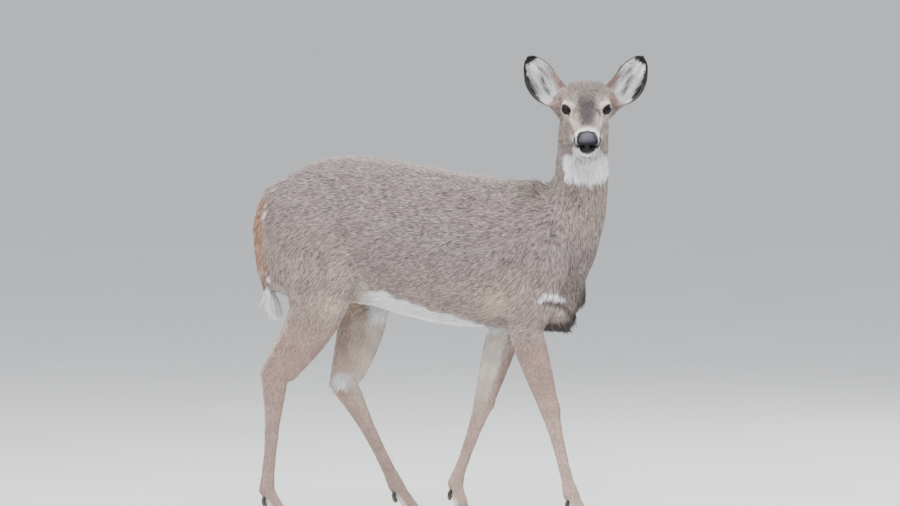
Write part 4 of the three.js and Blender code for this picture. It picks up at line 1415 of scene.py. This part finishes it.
def lockPlaces():  # where the locks grow, and which way they lean
    own = skinPoints - midline
    inHead = toHead(skinPoints)
    x, y, z = own.T
    share, across, inside = earPlace.T
    outward = np.sign(y)[:, None] * (0, 1, 0)
    cheekward = np.sign(inHead[:, 1:2]) * (headSpin @ np.array((0, 1.0, 0)))
    up, forward = headSpin @ np.array((0, 0, 1.0)), headSpin @ np.array((1.0, 0, 0))
    onTail, onBody = ownedBy("tail"), ownedBy("trunk")
    onEar = (skinKind == 1) & (inside > 0.5)
    pale = soft(skinColours.mean(1), 0.45, 0.70)
    ears = (np.array(earAxes(1)) @ headSpin.T, np.array(earAxes(-1)) @ headSpin.T)
    earAlong, earOpen = (np.where(inHead[:, 1:2] > 0, ears[0][k], ears[1][k]) for k in (1, 2))
    wool = soft(share, 0.04, 0.10) * fade(share, 0.5, 0.72) * fade(np.abs(across), 0.5, 0.8)
    hocks = sum(bump(own, tuft, (0.04, 0.03, 0.036)) for tuft in hockTufts)
    rim = onPath(own * (1, 0, 1), bodyPaths["rim"], 0.006, 0.020)
    narrow = soft(0.05 - np.abs(y), 0, 0.02)
    crest = soft(x, 0.275, 0.300) * fade(x, 0.325, 0.345) * soft(z, 0.815, 0.835) * fade(z, 0.858, 0.870)
    belly = onBody * pale * fade(skinNormals[:, 2], -0.8, -0.5) * soft(x, -0.12, -0.08)
    cheek = ownedBy("head") * fade(inHead[:, 0], 0.04, 0.10) * fade(inHead[:, 2], -0.03, 0.01)
    lash = (skinKind == 2) & (lidPlace > 1) & (lidPlace < 6) & (inHead[:, 2] > 0.030)
    fringe = onTail * pale * soft(z, 0.545, 0.59) * fade(z, 0.63, 0.68)
    return {
        "tailFringe": (fringe, (0.10, 0, -1) + 0.10 * outward),
        "tailTip": (onTail * fade(z, 0.55, 0.585) * soft(z, 0.53, 0.545), (0.12, 0, -1) + 0.05 * outward),
        "earWool": (onEar * wool, 0.8 * earAlong + 0.3 * earOpen),
        "earRoot": (onEar * fade(share, 0.10, 0.2), earAlong * 0.7 + earOpen * 0.6),
        "brisket": (onBody * rim * narrow, (0.25, 0, -1)),
        "hock": (ownedBy("hind_leg") * (hocks > 0.1), (-0.35, 0, -1) - 0.2 * outward),
        "withers": (crest * narrow * (skinKind == 0), (-0.9, 0, 0.35)),
        "belly": (belly, (-1, 0, -0.25)),
        "throat": (ownedBy("neck") * pale, (-0.1, 0, -1) + 0.15 * forward),
        "cheek": (cheek, -1.0 * forward - 0.5 * up + 0.25 * cheekward),
        "lash": (lash, 0.9 * forward - 0.35 * up + 0.5 * cheekward),
    }


for plan, (where, lean) in lockPlaces().items():
    count, length, width, rise, segments = lockSizes[plan]
    face, share = placesOn(where * count * 1e4 * coatShare, pick)
    facePiece = pieceNames[face]
    lean = np.broadcast_to(lean, skinPoints.shape)
    for name in sorted(set(facePiece)):
        chosen = facePiece == name
        spot = face[chosen], share[chosen]
        taken = (skinPoints, skinNormals, skinColours, lean)
        roots, normals, hairs, lie = (valuesAt(values, *spot) for values in taken)
        normals = unit(normals)
        lie = unit(lie - normals * (lie * normals).sum(1)[:, None] * 0.9)
        size = np.tile((length, width, 0, rise), (len(roots), 1)) * pick.uniform(0.65, 1.2, (len(roots), 4))
        sway = pick.normal(0, 0.10, (len(roots), 1))
        hairs = hairTones(hairs, roots, pick, 0.6)
        lie = combed(lie, normals, roots, pick, 9.0)
        coats[name].grow(
            roots, normals, lie, hairs, unwrapSkin(roots, normals), size, 0.8, segments=segments, sway=sway
        )
    print(plan, len(face), "locks")


coatSlots = {"Tail": "tail", "Ear": "ears", "Leg": "legs", "Head": "face"}
for coat in coats.values():
    slot = next((slot for word, slot in coatSlots.items() if word in coat.name), "coat")
    print(coat.name, coat.place(slot), "triangles")


floorFinish, nodes, links, shader = newMaterial("floor", 0.9)
speckle = addNoise(nodes, links, 3, 3.0)
floorTone = addNode(nodes, "MapRange", {"To Min": 0.60, "To Max": 0.66})
links.new(speckle, floorTone.inputs["Value"])
links.new(floorTone.outputs["Result"], shader.inputs["Base Color"])
turns = np.linspace(0, 2 * math.pi, 129)[:-1]
floorPoints = np.concatenate([np.c_[np.cos(turns), np.sin(turns), turns * 0] * 120, [[0, 0, 0]]])
floorTriangles = np.stack([np.full(128, 128), np.arange(128), (np.arange(128) + 1) % 128], -1)
floor = bpy.data.objects.new("floor", makeMesh("floor", floorPoints, floorTriangles))
bpy.context.scene.collection.objects.link(floor)
floor.data.materials.append(floorFinish)

sky = bpy.data.worlds.new("sky")
bpy.context.scene.world = sky
sky.use_nodes = True
sky.node_tree.nodes["Background"].inputs["Color"].default_value = (0.93, 0.96, 1.0, 1)
sky.node_tree.nodes["Background"].inputs["Strength"].default_value = 1.0


def addLamp(name, place, target, size, power, tone=(1, 1, 1)):
    lamp = bpy.data.lights.new(name, "AREA")
    lamp.shape = "DISK"
    lamp.size = size
    lamp.energy = power
    lamp.color = tone
    holder = bpy.data.objects.new(name, lamp)
    holder.location = place
    holder.rotation_euler = (Vector(target) - Vector(place)).to_track_quat("-Z", "Y").to_euler()
    bpy.context.scene.collection.objects.link(holder)


# place, target, size in metres, power in watts and tone
lamps = {
    "overhead": ((0.2, -0.8, 4.6), (0, 0, 0.7), 4.5, 385),
    "spark": ((1.25, -3.76, 4.2), (0.37, -0.1, 1.05), 0.8, 140),
    "front": ((-1.6, -4.6, 3.0), (0, 0, 0.7), 2.6, 155, (1.0, 0.98, 0.95)),
    "behind": ((2.2, 3.4, 2.6), (0, 0, 0.8), 2.2, 115, (0.95, 0.97, 1.0)),
}
for name, lamp in lamps.items():
    addLamp(name, *lamp)

view = {"turn": math.radians(10), "rise": math.radians(3), "away": 20, "scale": 0.0025}
right = Vector((math.cos(view["turn"]), math.sin(view["turn"]), 0))
level = math.cos(view["rise"])
back = Vector((math.sin(view["turn"]) * level, -math.cos(view["turn"]) * level, math.sin(view["rise"])))
up = back.cross(right)
target = right * (30 * view["scale"]) + up * (274 * view["scale"]) + Vector(midline)
cameraData = bpy.data.cameras.new("camera")
cameraData.sensor_width = 36
cameraData.lens = 320
cameraData.clip_end = 400
camera = bpy.data.objects.new("camera", cameraData)
camera.matrix_world = Matrix((right, up, back)).transposed().to_4x4()
camera.location = target + back * view["away"]
bpy.context.scene.collection.objects.link(camera)
bpy.context.scene.camera = camera

print("floor, light and camera set")
